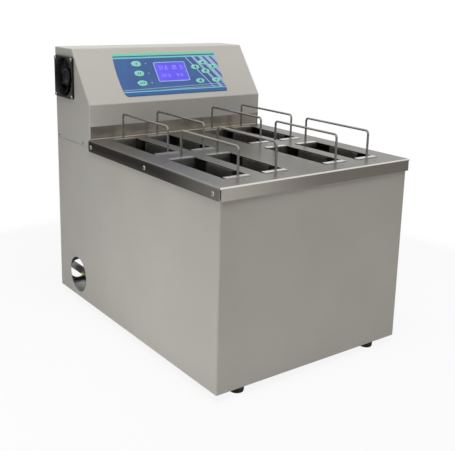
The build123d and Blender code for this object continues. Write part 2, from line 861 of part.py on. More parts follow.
# Rotor: seven pitched blades that widen from root to tip, trimmed round, on a round hub
fan_hub_base = fan_strut_plane.offset(fan_strut_depth + fan_hub_gap)
fan_hub_middle = fan_hub_base.offset(fan_hub_length / 2)
fan_tip_radius = fan_bore_radius - fan_blade_gap
blade_root_radius = fan_hub_radius - fan_blade_sink
blade_tip_radius = fan_tip_radius + fan_blade_gap
blade_across = fan_hub_middle.y_dir * math.cos(math.radians(fan_blade_pitch))
blade_outward = fan_hub_middle.z_dir * math.sin(math.radians(fan_blade_pitch))
blade_root_plane = Plane(
    origin=fan_hub_middle.from_local_coords(Vector(blade_root_radius, 0, 0)),
    x_dir=blade_across + blade_outward,
    z_dir=fan_hub_middle.x_dir,
)
with BuildPart() as fan_blade:
    with BuildSketch(blade_root_plane):
        with BuildLine():
            Polyline(
                (-fan_blade_chord / 2, 0),
                (0, fan_blade_camber),
                (fan_blade_chord / 2, 0),
                (fan_blade_chord / 2, fan_blade_sheet),
                (0, fan_blade_camber + fan_blade_sheet),
                (-fan_blade_chord / 2, fan_blade_sheet),
                close=True,
            )
        make_face()
    extrude(amount=blade_tip_radius - blade_root_radius)
    with BuildSketch(fan_hub_middle.offset(-fan_hub_length)):
        with BuildLine():
            Polyline(
                (blade_root_radius, -fan_blade_root_width / 2),
                (blade_tip_radius, fan_blade_sweep - fan_blade_tip_width / 2),
                (blade_tip_radius, fan_blade_sweep + fan_blade_tip_width / 2),
                (blade_root_radius, fan_blade_root_width / 2),
                close=True,
            )
        make_face()
    extrude(amount=2 * fan_hub_length, mode=Mode.INTERSECT)

fan_axis = Axis(fan_hub_middle.origin, fan_hub_middle.z_dir)
with BuildPart() as fan_rotor:
    for number in range(fan_blade_count):
        add(fan_blade.part.rotate(fan_axis, number * 360 / fan_blade_count))
    with BuildSketch(fan_hub_middle.offset(-fan_hub_length)):
        RegularPolygon(fan_tip_radius, tip_sides)
    extrude(amount=2 * fan_hub_length, mode=Mode.INTERSECT)
    with BuildSketch(fan_hub_base):
        RegularPolygon(fan_hub_radius, drum_sides)
    extrude(amount=fan_hub_length)
    with BuildSketch(fan_hub_base):
        RegularPolygon(fan_shaft_radius, small_sides)
    extrude(amount=-fan_shaft_length)
fan_rotor.part.label = "fan_rotor"
export_step(fan_rotor.part, "parts/fan_rotor.step")

# Heads of the fan's four screws
with BuildPart() as fan_screws:
    with BuildSketch(fan_plane.offset(fan_flange)):
        with GridLocations(fan_screw_pitch, fan_screw_pitch, 2, 2):
            RegularPolygon(screw_head_radius, small_sides)
    extrude(amount=fan_screw_head_height)
fan_screws.part.label = "fan_screws"
export_step(fan_screws.part, "parts/fan_screws.step")


# Low screw heads standing on a plane
def add_screws(plane, places):
    with BuildSketch(plane) as heads:
        with Locations(*places):
            RegularPolygon(screw_head_radius, small_sides)
    extrude(heads.sketch, amount=screw_head_height)


# Screws of the lip, of the hood's sides and of the two rear panels
with BuildPart() as panel_screws:
    add_screws(Plane.YZ.offset(deck_width / 2), lip_screw_places)
    add_screws(Plane.YZ.offset(body_width / 2), hood_screw_places)
    left_lip = Plane(origin=(-deck_width / 2, 0, 0), x_dir=(0, -1, 0), z_dir=(-1, 0, 0))
    left_hood = Plane(origin=(-body_width / 2, 0, 0), x_dir=(0, -1, 0), z_dir=(-1, 0, 0))
    add_screws(left_lip, [(-y, z) for y, z in lip_screw_places])
    add_screws(left_hood, [(-y, z) for y, z in hood_screw_places])
    add_screws(rear_plane, [(-x, z) for x, z in rear_screw_places + cover_screw_places])
panel_screws.part.label = "panel_screws"
export_step(panel_screws.part, "parts/panel_screws.step")

# Water tank: welded box under the deck, with a rim, spigots for the pump and openings for what enters it
tank_front_y = front_y + tank_front_back
tank_top_z = deck_z - deck_sheet
tank_middle_y = tank_front_y + tank_depth / 2
volute_front_y = tank_rear_y - volute_front_inset
outlet_place = (pump_x + outlet_offset, volute_front_y + volute_depth / 2)
suction_place = (pump_x, tank_rear_y - suction_inset)
drain_place = (drain_x, tank_rear_y - drain_drop_inset)
heater_z = body_bottom + heater_rise
probe_z = body_bottom + probe_rise
terminal_xs = [-heater_terminal_pitch / 2, heater_terminal_pitch / 2]
heater_hole_height = 2 * (heater_tube_radius + heater_hole_gap)
heater_hole_width = heater_terminal_pitch + heater_hole_height
with BuildPart() as water_tank:
    with BuildSketch(Plane.XY.offset(tank_bottom_z)):
        with Locations((0, tank_middle_y)):
            Rectangle(tank_width, tank_depth)
    extrude(amount=tank_top_z - tank_bottom_z)
    with BuildSketch(Plane.XY.offset(tank_top_z)):
        with Locations((0, tank_middle_y)):
            Rectangle(tank_width + 2 * tank_rim, tank_depth + 2 * tank_rim)
    extrude(amount=-tank_wall)
    with BuildSketch(Plane.XY.offset(tank_bottom_z)):
        with Locations(suction_place, outlet_place):
            RegularPolygon(spigot_radius, tube_sides)
    extrude(amount=-spigot_length)
    with BuildSketch(Plane.XY.offset(tank_bottom_z + tank_wall)):
        with Locations((0, tank_middle_y)):
            Rectangle(tank_width - 2 * tank_wall, tank_depth - 2 * tank_wall)
    extrude(amount=tank_top_z - tank_bottom_z, mode=Mode.SUBTRACT)
    with BuildSketch(Plane.XY.offset(tank_bottom_z + overrun)):
        with Locations(suction_place, outlet_place):
            RegularPolygon(spigot_radius - spigot_wall, tube_sides)
        with Locations(drain_place):
            RegularPolygon(drain_radius - drain_wall, tube_sides)
    extrude(amount=-(overrun + spigot_length + overrun), mode=Mode.SUBTRACT)
    with BuildSketch(Plane.XZ.offset(-(tank_rear_y + overrun))):
        with Locations((0, heater_z)):
            Rectangle(heater_hole_width, heater_hole_height)
        with Locations((0, probe_z)):
            RegularPolygon(probe_radius, small_sides)
    extrude(amount=2 * overrun, mode=Mode.SUBTRACT)
water_tank.part.label = "water_tank"
export_step(water_tank.part, "parts/water_tank.step")

# Tank rails: two channels across the base pan that carry the tank
rail_length = body_width - 2 * rail_side
with BuildPart() as tank_rails:
    for rail_y in (front_y + rail_front_back, tank_rear_y - rail_rear_inset):
        with BuildSketch(Plane.YZ.offset(-rail_length / 2)):
            with Locations((rail_y, body_bottom + panel_sheet)):
                Rectangle(rail_flange, tank_bottom_rise - panel_sheet, align=(Align.MIN, Align.MIN))
            with Locations((rail_y + rail_sheet, body_bottom + panel_sheet + rail_sheet)):
                Rectangle(
                    rail_flange,
                    tank_bottom_rise - panel_sheet - 2 * rail_sheet,
                    align=(Align.MIN, Align.MIN),
                    mode=Mode.SUBTRACT,
                )
        extrude(amount=rail_length)
tank_rails.part.label = "tank_rails"
export_step(tank_rails.part, "parts/tank_rails.step")

# Heater: one bent tube loop near the tank's floor, brazed in a flange outside the rear wall
heater_left, heater_right = terminal_xs
loop_left = -heater_loop_width / 2
loop_right = heater_loop_width / 2
with BuildPart() as heater_element:
    with BuildLine():
        heater_corners = [
            (heater_left, tank_rear_y, heater_z),
            (heater_left, tank_rear_y - heater_neck_inset, heater_z),
            (loop_left, tank_rear_y - heater_shoulder_inset, heater_z),
            (loop_left, front_y + heater_front_back, heater_z),
            (loop_right, front_y + heater_front_back, heater_z),
            (loop_right, tank_rear_y - heater_shoulder_inset, heater_z),
            (heater_right, tank_rear_y - heater_neck_inset, heater_z),
            (heater_right, tank_rear_y, heater_z),
        ]
        heater_route = Polyline(*bent_route(heater_corners, heater_bend))
    with BuildSketch(Plane(origin=heater_corners[0], z_dir=(0, -1, 0))):
        RegularPolygon(heater_tube_radius, small_sides)
    sweep(path=heater_route, transition=Transition.RIGHT)
    with BuildSketch(Plane.XZ.offset(-tank_rear_y)):
        with Locations((0, heater_z)):
            Rectangle(heater_flange_width, heater_flange_height)
    extrude(amount=-heater_flange_sheet)
    with BuildSketch(Plane.XZ.offset(-(tank_rear_y + heater_flange_sheet))):
        with Locations(*[(x, heater_z) for x in terminal_xs]):
            RegularPolygon(heater_terminal_radius, small_sides)
    extrude(amount=-heater_terminal_length)
heater_element.part.label = "heater_element"
export_step(heater_element.part, "parts/heater_element.step")

# Temperature probe: rod in the gap between the middle baskets, hexagon and plug outside the tank
with BuildPart() as temperature_probe:
    with BuildSketch(Plane.XZ.offset(-tank_rear_y)):
        with Locations((0, probe_z)):
            RegularPolygon(probe_radius, small_sides)
    extrude(amount=probe_length)
    with BuildSketch(Plane.XZ.offset(-tank_rear_y)):
        with Locations((0, probe_z)):
            RegularPolygon(probe_nut_radius, hexagon_sides)
    extrude(amount=-probe_nut_depth)
    with BuildSketch(Plane.XZ.offset(-(tank_rear_y + probe_nut_depth))):
        with Locations((0, probe_z)):
            RegularPolygon(probe_plug_radius, small_sides)
    extrude(amount=-probe_plug_length)
temperature_probe.part.label = "temperature_probe"
export_step(temperature_probe.part, "parts/temperature_probe.step")

# Pump housing: volute with a suction nozzle in front and a pressure nozzle on top
volute_rear_y = volute_front_y + volute_depth
pump_centre = (pump_x, pump_z)
outlet_x = pump_x + outlet_offset
outlet_y = volute_front_y + volute_depth / 2
outlet_z = body_bottom + outlet_rise
with BuildPart() as pump_housing:
    with BuildSketch(Plane.XZ.offset(-volute_front_y)):
        with Locations(pump_centre):
            RegularPolygon(volute_radius, drum_sides)
    extrude(amount=-volute_depth)
    with BuildSketch(Plane.XZ.offset(-volute_front_y)):
        with Locations(pump_centre):
            RegularPolygon(spigot_radius, tube_sides)
    extrude(amount=nozzle_length)
    with BuildSketch(Plane.XY.offset(pump_z)):
        with Locations((outlet_x, outlet_y)):
            RegularPolygon(spigot_radius, tube_sides)
    extrude(amount=outlet_z - pump_z)
    with BuildSketch(Plane.XZ.offset(-(volute_front_y + volute_wall))):
        with Locations(pump_centre):
            RegularPolygon(volute_radius - volute_wall, drum_sides)
    extrude(amount=-volute_depth, mode=Mode.SUBTRACT)
    with BuildSketch(Plane.XZ.offset(-(volute_front_y + volute_wall + overrun))):
        with Locations(pump_centre):
            RegularPolygon(spigot_radius - spigot_wall, tube_sides)
    extrude(amount=nozzle_length + volute_wall + 2 * overrun, mode=Mode.SUBTRACT)
    with BuildSketch(Plane.XY.offset(pump_z)):
        with Locations((outlet_x, outlet_y)):
            RegularPolygon(spigot_radius - spigot_wall, tube_sides)
    extrude(amount=outlet_z - pump_z + overrun, mode=Mode.SUBTRACT)
pump_housing.part.label = "pump_housing"
export_step(pump_housing.part, "parts/pump_housing.step")

# Pump motor: closes the volute from behind and stands on a foot on the base pan
pan_top_z = body_bottom + panel_sheet
with BuildPart() as pump_motor:
    with BuildSketch(Plane.XZ.offset(-volute_rear_y)):
        with Locations(pump_centre):
            RegularPolygon(volute_radius, drum_sides)
    extrude(amount=-volute_wall)
    with BuildSketch(Plane.XZ.offset(-volute_rear_y)):
        with Locations(pump_centre):
            RegularPolygon(motor_radius, drum_sides)
    extrude(amount=-motor_depth)
    with BuildSketch(Plane.XZ.offset(-(volute_rear_y + motor_depth))):
        with Locations(pump_centre):
            RegularPolygon(motor_cap_radius, drum_sides)
    extrude(amount=-motor_cap_depth)
    with BuildSketch(Plane.XY.offset(pan_top_z)):
        with Locations((pump_x, volute_rear_y + motor_depth / 2)):
            Rectangle(pump_foot_width, motor_depth - 2 * volute_wall)
    extrude(amount=pump_foot_sheet)
    with BuildSketch(Plane.XY.offset(pan_top_z)):
        with Locations((pump_x, volute_rear_y + motor_depth / 2)):
            Rectangle(pump_foot_width / 2, motor_depth - 2 * volute_wall)
    extrude(amount=pump_z - motor_radius / 2 - pan_top_z)
    with BuildSketch(Plane.XZ.offset(-(volute_rear_y - overrun))):
        with Locations(pump_centre):
            RegularPolygon(pump_shaft_radius + shaft_fit, small_sides, major_radius=False)
    extrude(amount=-(pump_shaft_length + 2 * overrun), mode=Mode.SUBTRACT)
pump_motor.part.label = "pump_motor"
export_step(pump_motor.part, "parts/pump_motor.step")

# Impeller: backing disc, six swept vanes, hub and shaft
impeller_rear_y = volute_rear_y - impeller_gap
impeller_vane_length = impeller_radius - impeller_hub_radius
with BuildPart() as pump_impeller:
    with BuildSketch(Plane.XZ.offset(-impeller_rear_y)):
        with Locations(pump_centre):
            RegularPolygon(impeller_radius, drum_sides)
    extrude(amount=impeller_disc)
    with BuildSketch(Plane.XZ.offset(-(impeller_rear_y - impeller_disc))):
        with Locations(pump_centre):
            RegularPolygon(impeller_hub_radius, tube_sides)
            with PolarLocations((impeller_hub_radius + impeller_radius) / 2, impeller_vane_count):
                Rectangle(impeller_vane_length, impeller_vane_sheet, rotation=impeller_sweep)
    extrude(amount=impeller_vane)
    with BuildSketch(Plane.XZ.offset(-impeller_rear_y)):
        with Locations(pump_centre):
            RegularPolygon(pump_shaft_radius, small_sides)
    extrude(amount=-(impeller_gap + pump_shaft_length))
pump_impeller.part.label = "pump_impeller"
export_step(pump_impeller.part, "parts/pump_impeller.step")

# Suction hose: from the tank's front spigot down and back onto the pump's nozzle
hose_radius = spigot_radius + hose_wall
with BuildPart() as suction_hose:
    with BuildLine():
        suction_corners = [
            (pump_x, suction_place[1], tank_bottom_z),
            (pump_x, suction_place[1], pump_z),
            (pump_x, volute_front_y, pump_z),
        ]
        suction_route = Polyline(*bent_route(suction_corners, hose_bend))
    with BuildSketch(Plane(origin=suction_corners[0], z_dir=(0, 0, -1))):
        RegularPolygon(hose_radius, tube_sides)
        RegularPolygon(spigot_radius, tube_sides, mode=Mode.SUBTRACT)
    sweep(path=suction_route, transition=Transition.RIGHT)
suction_hose.part.label = "suction_hose"
export_step(suction_hose.part, "parts/suction_hose.step")

# Return hose: short and straight, over the pump's top nozzle and the tank's rear spigot
volute_top_z = pump_z + math.sqrt(volute_radius**2 - (outlet_offset - hose_radius) ** 2)
with BuildPart() as return_hose:
    with BuildSketch(Plane.XY.offset(tank_bottom_z)):
        with Locations(outlet_place):
            RegularPolygon(hose_radius, tube_sides)
            RegularPolygon(spigot_radius, tube_sides, mode=Mode.SUBTRACT)
    extrude(amount=volute_top_z - tank_bottom_z)
return_hose.part.label = "return_hose"
export_step(return_hose.part, "parts/return_hose.step")

# Drain elbow: from the tank's floor down and back to the valve
valve_front_y = deck_rear_y + valve_front_behind
valve_rear_y = deck_rear_y + valve_rear_behind
with BuildPart() as drain_elbow:
    with BuildLine():
        elbow_corners = [
            (drain_x, drain_place[1], tank_bottom_z),
            (drain_x, drain_place[1], drain_z),
            (drain_x, valve_front_y, drain_z),
        ]
        elbow_route = Polyline(*bent_route(elbow_corners, drain_bend))
    with BuildSketch(Plane(origin=elbow_corners[0], z_dir=(0, 0, -1))):
        RegularPolygon(drain_radius, tube_sides)
        RegularPolygon(drain_radius - drain_wall, tube_sides, mode=Mode.SUBTRACT)
    sweep(path=elbow_route, transition=Transition.RIGHT)
drain_elbow.part.label = "drain_elbow"
export_step(drain_elbow.part, "parts/drain_elbow.step")

# Drain valve: brass barrel with hexagon ends and a bonnet for the lever's stem
valve_centre_y = (valve_front_y + valve_rear_y) / 2
valve_seat_z = drain_z + valve_bonnet_rise
with BuildPart() as drain_valve_body:
    with BuildSketch(Plane.XZ.offset(-valve_front_y)):
        with Locations((drain_x, drain_z)):
            RegularPolygon(valve_end_radius, hexagon_sides)
    extrude(amount=-(valve_rear_y - valve_front_y))
    with BuildSketch(Plane.XZ.offset(-(valve_front_y + valve_end_length))):
        with Locations((drain_x, drain_z)):
            RegularPolygon(valve_radius, drum_sides)
    extrude(amount=-(valve_rear_y - valve_front_y - 2 * valve_end_length))
    with BuildSketch(Plane.XY.offset(drain_z)):
        with Locations((drain_x, valve_centre_y)):
            RegularPolygon(valve_bonnet_radius, tube_sides)
    extrude(amount=valve_bonnet_rise)
    with BuildSketch(Plane.XZ.offset(-(valve_front_y - overrun))):
        with Locations((drain_x, drain_z)):
            RegularPolygon(drain_radius - drain_wall, tube_sides)
    extrude(amount=-(overrun + valve_end_length), mode=Mode.SUBTRACT)
    with BuildSketch(Plane.XZ.offset(-(valve_rear_y + overrun))):
        with Locations((drain_x, drain_z)):
            RegularPolygon(drain_radius - drain_wall, tube_sides)
    extrude(amount=overrun + valve_end_length, mode=Mode.SUBTRACT)
    with BuildSketch(Plane.XY.offset(valve_seat_z + overrun)):
        with Locations((drain_x, valve_centre_y)):
            RegularPolygon(lever_stem_radius + shaft_fit, small_sides, major_radius=False)
    extrude(amount=-(overrun + lever_stem_depth + lever_lift), mode=Mode.SUBTRACT)
drain_valve_body.part.label = "drain_valve_body"
export_step(drain_valve_body.part, "parts/drain_valve_body.step")

# Drain lever: round boss on a stem, with a flat arm that points at the hand hole when shut
lever_z = valve_seat_z + lever_lift
with BuildPart() as drain_lever:
    with BuildSketch(Plane.XY.offset(lever_z)):
        with Locations((drain_x, valve_centre_y)):
            RegularPolygon(lever_hub_radius, tube_sides)
        with Locations((drain_x - lever_length / 2, valve_centre_y)):
            Rectangle(lever_length, lever_width)
    extrude(amount=lever_sheet)
    with BuildSketch(Plane.XY.offset(lever_z)):
        with Locations((drain_x, valve_centre_y)):
            RegularPolygon(lever_stem_radius, small_sides)
    extrude(amount=-lever_stem_depth)
drain_lever.part.label = "drain_lever"
export_step(drain_lever.part, "parts/drain_lever.step")

# Drain pipe: from the valve out through the rear panel's hole
with BuildPart() as drain_pipe:
    with BuildSketch(Plane.XZ.offset(-valve_rear_y)):
        with Locations((drain_x, drain_z)):
            Circle(drain_radius)
            Circle(drain_radius - drain_wall, mode=Mode.SUBTRACT)
    extrude(amount=-(rear_y + drain_reach - valve_rear_y))
drain_pipe.part.label = "drain_pipe"
export_step(drain_pipe.part, "parts/drain_pipe.step")

# Electronics tray: folded sheet between the hood's tabs
tray_width = inner_width - 2 * panel_sheet
tray_front_y = deck_rear_y + tab_front_behind + tray_inset
tray_length = tab_rear_behind - tab_front_behind - 2 * tray_inset
tray_low_z = tray_z - tray_edge
with BuildPart() as electronics_tray:
    with BuildSketch(Plane.XY.offset(tray_low_z)):
        with Locations((0, tray_front_y)):
            Rectangle(tray_width, tray_length, align=front_align)
    extrude(amount=tray_edge)
    with BuildSketch(Plane.XY.offset(tray_low_z)):
        with Locations((0, tray_front_y - overrun)):
            Rectangle(tray_width - 2 * panel_sheet, tray_length + 2 * overrun, align=front_align)
    extrude(amount=tray_edge - panel_sheet, mode=Mode.SUBTRACT)
electronics_tray.part.label = "electronics_tray"
export_step(electronics_tray.part, "parts/electronics_tray.step")

# Main board on four standoffs, with three relays and a terminal strip
board_y = deck_rear_y + board_behind
board_top_z = tray_z + standoff_height + board_sheet
with BuildPart() as main_board:
    with BuildSketch(Plane.XY.offset(tray_z + standoff_height)):
        with Locations((board_x, board_y)):
            Rectangle(board_width, board_depth)
    extrude(amount=board_sheet)
    with BuildSketch(Plane.XY.offset(tray_z)):
        with Locations((board_x, board_y)):
            with GridLocations(board_width - 2 * standoff_inset, board_depth - 2 * standoff_inset, 2, 2):
                RegularPolygon(standoff_radius, small_sides)
    extrude(amount=standoff_height)
    with BuildSketch(Plane.XY.offset(board_top_z)):
        with Locations((board_x, board_y)):
            with GridLocations(relay_pitch, board_depth, relay_count, 1):
                Rectangle(relay_width, relay_depth)
    extrude(amount=relay_height)
    with BuildSketch(Plane.XY.offset(board_top_z)):
        with Locations((board_x, board_y + board_depth / 2 - terminal_strip_depth)):
            Rectangle(terminal_strip_width, terminal_strip_depth)
    extrude(amount=terminal_strip_height)
main_board.part.label = "main_board"
export_step(main_board.part, "parts/main_board.step")

# Power supply: closed metal case with a row of vent slots in its lid
with BuildPart() as power_supply:
    with BuildSketch(Plane.XY.offset(tray_z)):
        with Locations((supply_x, deck_rear_y + supply_behind)):
            Rectangle(supply_width, supply_depth)
    extrude(amount=supply_height)
    with BuildSketch(Plane.XY.offset(tray_z + supply_height)):
        with Locations((supply_x, deck_rear_y + supply_behind)):
            with GridLocations(supply_width, supply_slot_pitch, 1, supply_slot_count):
                Rectangle(supply_slot_length, supply_slot_width)
    extrude(amount=-supply_slot_depth, mode=Mode.SUBTRACT)
power_supply.part.label = "power_supply"
export_step(power_supply.part, "parts/power_supply.step")

# Heater relay: a solid-state puck on a finned heat sink
sink_y = deck_rear_y + sink_behind
sink_fin_pitch = (sink_width - sink_fin_sheet) / (sink_fin_count - 1)
with BuildPart() as heater_relay:
    with BuildSketch(Plane.XZ.offset(-(sink_y - sink_depth / 2))):
        with Locations((sink_x, tray_z + sink_fin_height)):
            Rectangle(sink_width, sink_base, align=front_align)
        with Locations((sink_x, tray_z)):
            with GridLocations(sink_fin_pitch, sink_fin_height, sink_fin_count, 1):
                Rectangle(sink_fin_sheet, sink_fin_height, align=front_align)
    extrude(amount=-sink_depth)
    with BuildSketch(Plane.XY.offset(tray_z + sink_fin_height + sink_base)):
        with Locations((sink_x, sink_y)):
            Rectangle(relay_puck_width, relay_puck_depth)
    extrude(amount=relay_puck_height)
heater_relay.part.label = "heater_relay"
export_step(heater_relay.part, "parts/heater_relay.step")

# Mains inlet: flange outside the rear cover, three-pin socket below and the switch's well above
inlet_plane = Plane(
    origin=(inlet_x, rear_y, inlet_z),
    x_dir=(-1, 0, 0),
    z_dir=(0, 1, 0),
)
inlet_face = inlet_plane.offset(inlet_flange_sheet)
pin_places = [
    (-pin_pitch, -socket_drop),
    (0, pin_drop - socket_drop),
    (pin_pitch, -socket_drop),
]
with BuildPart() as mains_inlet:
    with BuildSketch(inlet_plane):
        RectangleRounded(inlet_flange_width, inlet_flange_height, inlet_flange_corner)
    extrude(amount=inlet_flange_sheet)
    with BuildSketch(inlet_plane):
        Rectangle(inlet_body_width, inlet_body_height)
    extrude(amount=-inlet_body_depth)
    with BuildSketch(inlet_face) as socket_outline:
        with Locations((0, -socket_drop)):
            Rectangle(socket_width, socket_height)
        chamfer(socket_outline.vertices().group_by(Axis.Y)[-1], length=socket_corner)
    extrude(amount=-socket_depth, mode=Mode.SUBTRACT)
    with BuildSketch(inlet_face):
        with Locations((0, rocker_well_lift)):
            Rectangle(rocker_well_width, rocker_well_height)
    extrude(amount=-rocker_well_depth, mode=Mode.SUBTRACT)
    with BuildSketch(inlet_face.offset(-socket_depth)):
        with Locations(*pin_places):
            Rectangle(pin_width, pin_height)
    extrude(amount=pin_length)
    with BuildSketch(inlet_plane.offset(-inlet_body_depth)):
        with GridLocations(terminal_pitch, terminal_pitch, 2, terminal_rows):
            Rectangle(terminal_width, terminal_sheet)
    extrude(amount=-terminal_length)
    pivot_depth = inlet_flange_sheet - rocker_pivot_depth
    with BuildSketch(Plane.XY.offset(inlet_z + rocker_well_lift - rocker_well_height)):
        with Locations((inlet_x, rear_y + pivot_depth)):
            RegularPolygon(rocker_pin_radius + shaft_fit, small_sides, major_radius=False)
    extrude(amount=2 * rocker_well_height, mode=Mode.SUBTRACT)
mains_inlet.part.label = "mains_inlet"
export_step(mains_inlet.part, "parts/mains_inlet.step")

# Power rocker: shallow vee on a pivot, shown switched off, its left half pressed in
rocker_z = inlet_z + rocker_well_lift
rocker_height = rocker_well_height - 2 * rocker_gap
rocker_crest = rocker_half * math.tan(math.radians(rocker_tilt))
rocker_plane = Plane(
    origin=(inlet_x, rear_y + pivot_depth, rocker_z - rocker_height / 2),
    x_dir=(math.cos(math.radians(rocker_tilt)), math.sin(math.radians(rocker_tilt)), 0),
    z_dir=(0, 0, 1),
)
with BuildPart() as power_rocker:
    with BuildSketch(rocker_plane):
        with BuildLine():
            Polyline(
                (-rocker_half, rocker_crest + rocker_pivot_depth),
                (0, rocker_pivot_depth),
                (rocker_half, rocker_crest + rocker_pivot_depth),
                (rocker_half, rocker_pivot_depth / 2),
            )
            ThreePointArc(
                (rocker_half, rocker_pivot_depth / 2),
                (0, rocker_pivot_depth / 2 - rocker_depth),
                (-rocker_half, rocker_pivot_depth / 2),
            )
            Line((-rocker_half, rocker_pivot_depth / 2), (-rocker_half, rocker_crest + rocker_pivot_depth))
        make_face()
    extrude(amount=rocker_height)
    with BuildSketch(rocker_plane.offset(-rocker_pin_length)):
        RegularPolygon(rocker_pin_radius, small_sides)
    extrude(amount=rocker_height + 2 * rocker_pin_length)
power_rocker.part.label = "power_rocker"
export_step(power_rocker.part, "parts/power_rocker.step")
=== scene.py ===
"""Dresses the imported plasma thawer: finishes for its solids, and finer pieces where they show."""

import logging
import math
from collections.abc import Iterable, Mapping, Sequence
from dataclasses import dataclass, field
from enum import Enum

import bmesh
import bpy
from mathutils import Matrix, Vector


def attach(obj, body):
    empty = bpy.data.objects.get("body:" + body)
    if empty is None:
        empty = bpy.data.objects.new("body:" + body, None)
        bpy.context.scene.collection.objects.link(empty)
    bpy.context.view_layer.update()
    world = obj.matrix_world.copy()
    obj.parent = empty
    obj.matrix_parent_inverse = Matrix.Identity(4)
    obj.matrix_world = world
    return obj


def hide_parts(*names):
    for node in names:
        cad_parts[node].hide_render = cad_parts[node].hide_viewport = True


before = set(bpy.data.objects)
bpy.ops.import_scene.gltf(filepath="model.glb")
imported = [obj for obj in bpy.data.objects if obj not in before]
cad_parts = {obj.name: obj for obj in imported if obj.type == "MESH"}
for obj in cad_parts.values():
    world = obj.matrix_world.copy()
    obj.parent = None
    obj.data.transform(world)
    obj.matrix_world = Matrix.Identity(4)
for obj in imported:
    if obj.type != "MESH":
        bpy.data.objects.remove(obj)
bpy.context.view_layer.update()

Colour = tuple[float, float, float]
Point = tuple[float, float, float]
Flat = tuple[float, float]
Socket = bpy.types.NodeSocket
Inputs = Mapping[str | int, object]
Sockets = Mapping[str, Socket]
Levels = Iterable[tuple[Sequence[Flat], float]]

log = logging.getLogger("thawer")
MACHINE = "machine"
WHITE: Colour = (1.0, 1.0, 1.0)
RIGHT, LEFT = (1.0, 0.0, 0.0), (-1.0, 0.0, 0.0)
BACK, AHEAD = (0.0, 1.0, 0.0), (0.0, -1.0, 0.0)
UP, DOWN = (0.0, 0.0, 1.0), (0.0, 0.0, -1.0)
# Keeps a division along an axis finite, and rounds an oval's ends.
TINY = 1e-6
FULLNESS = 0.9
# Places that several classes share, in metres: the deck's top, the slots' middles and the slope.
DECK_TOP = 0.346
SLOT_XS = (-0.140, -0.065, 0.065, 0.140)
SLOT_YS = (-0.17625, 0.02575)
SLOPE_FOOT: Point = (0.0, 0.12425, 0.411)
SLOPE_CLIMB: Point = (0.0, 0.5882, 0.8087)
# The bars of each digit, and each bar's place as shares of the digit's width and height.
BARS_LIT = {
    "0": "abcdef", "1": "bc", "2": "abged", "3": "abgcd", "4": "fgbc",
    "5": "afgcd", "6": "afgecd", "7": "abc", "8": "abcdefg", "9": "abcdfg", " ": "",
}
BAR_SPOTS = {
    "a": (0.0, 0.5), "g": (0.0, 0.0), "d": (0.0, -0.5), "f": (-0.5, 0.25), "b": (0.5, 0.25),
    "e": (-0.5, -0.25), "c": (0.5, -0.25),
}


def grey(level: float) -> Colour:
    """Gives a neutral colour."""
    return (level, level, level)


def seen(*parts: float) -> Colour:
    """Turns a colour as a screen shows it, from 0 to 255, into linear light."""
    shares = [part / 255 for part in parts]
    return tuple(
        share / 12.92 if share <= 0.04045 else ((share + 0.055) / 1.055) ** 2.4 for share in shares
    )


def slots() -> list[tuple[int, float, float]]:
    """Gives each slot's number and middle, row by row."""
    middles = [(x, y) for y in SLOT_YS for x in SLOT_XS]
    return [(number, x, y) for number, (x, y) in enumerate(middles, 1)]


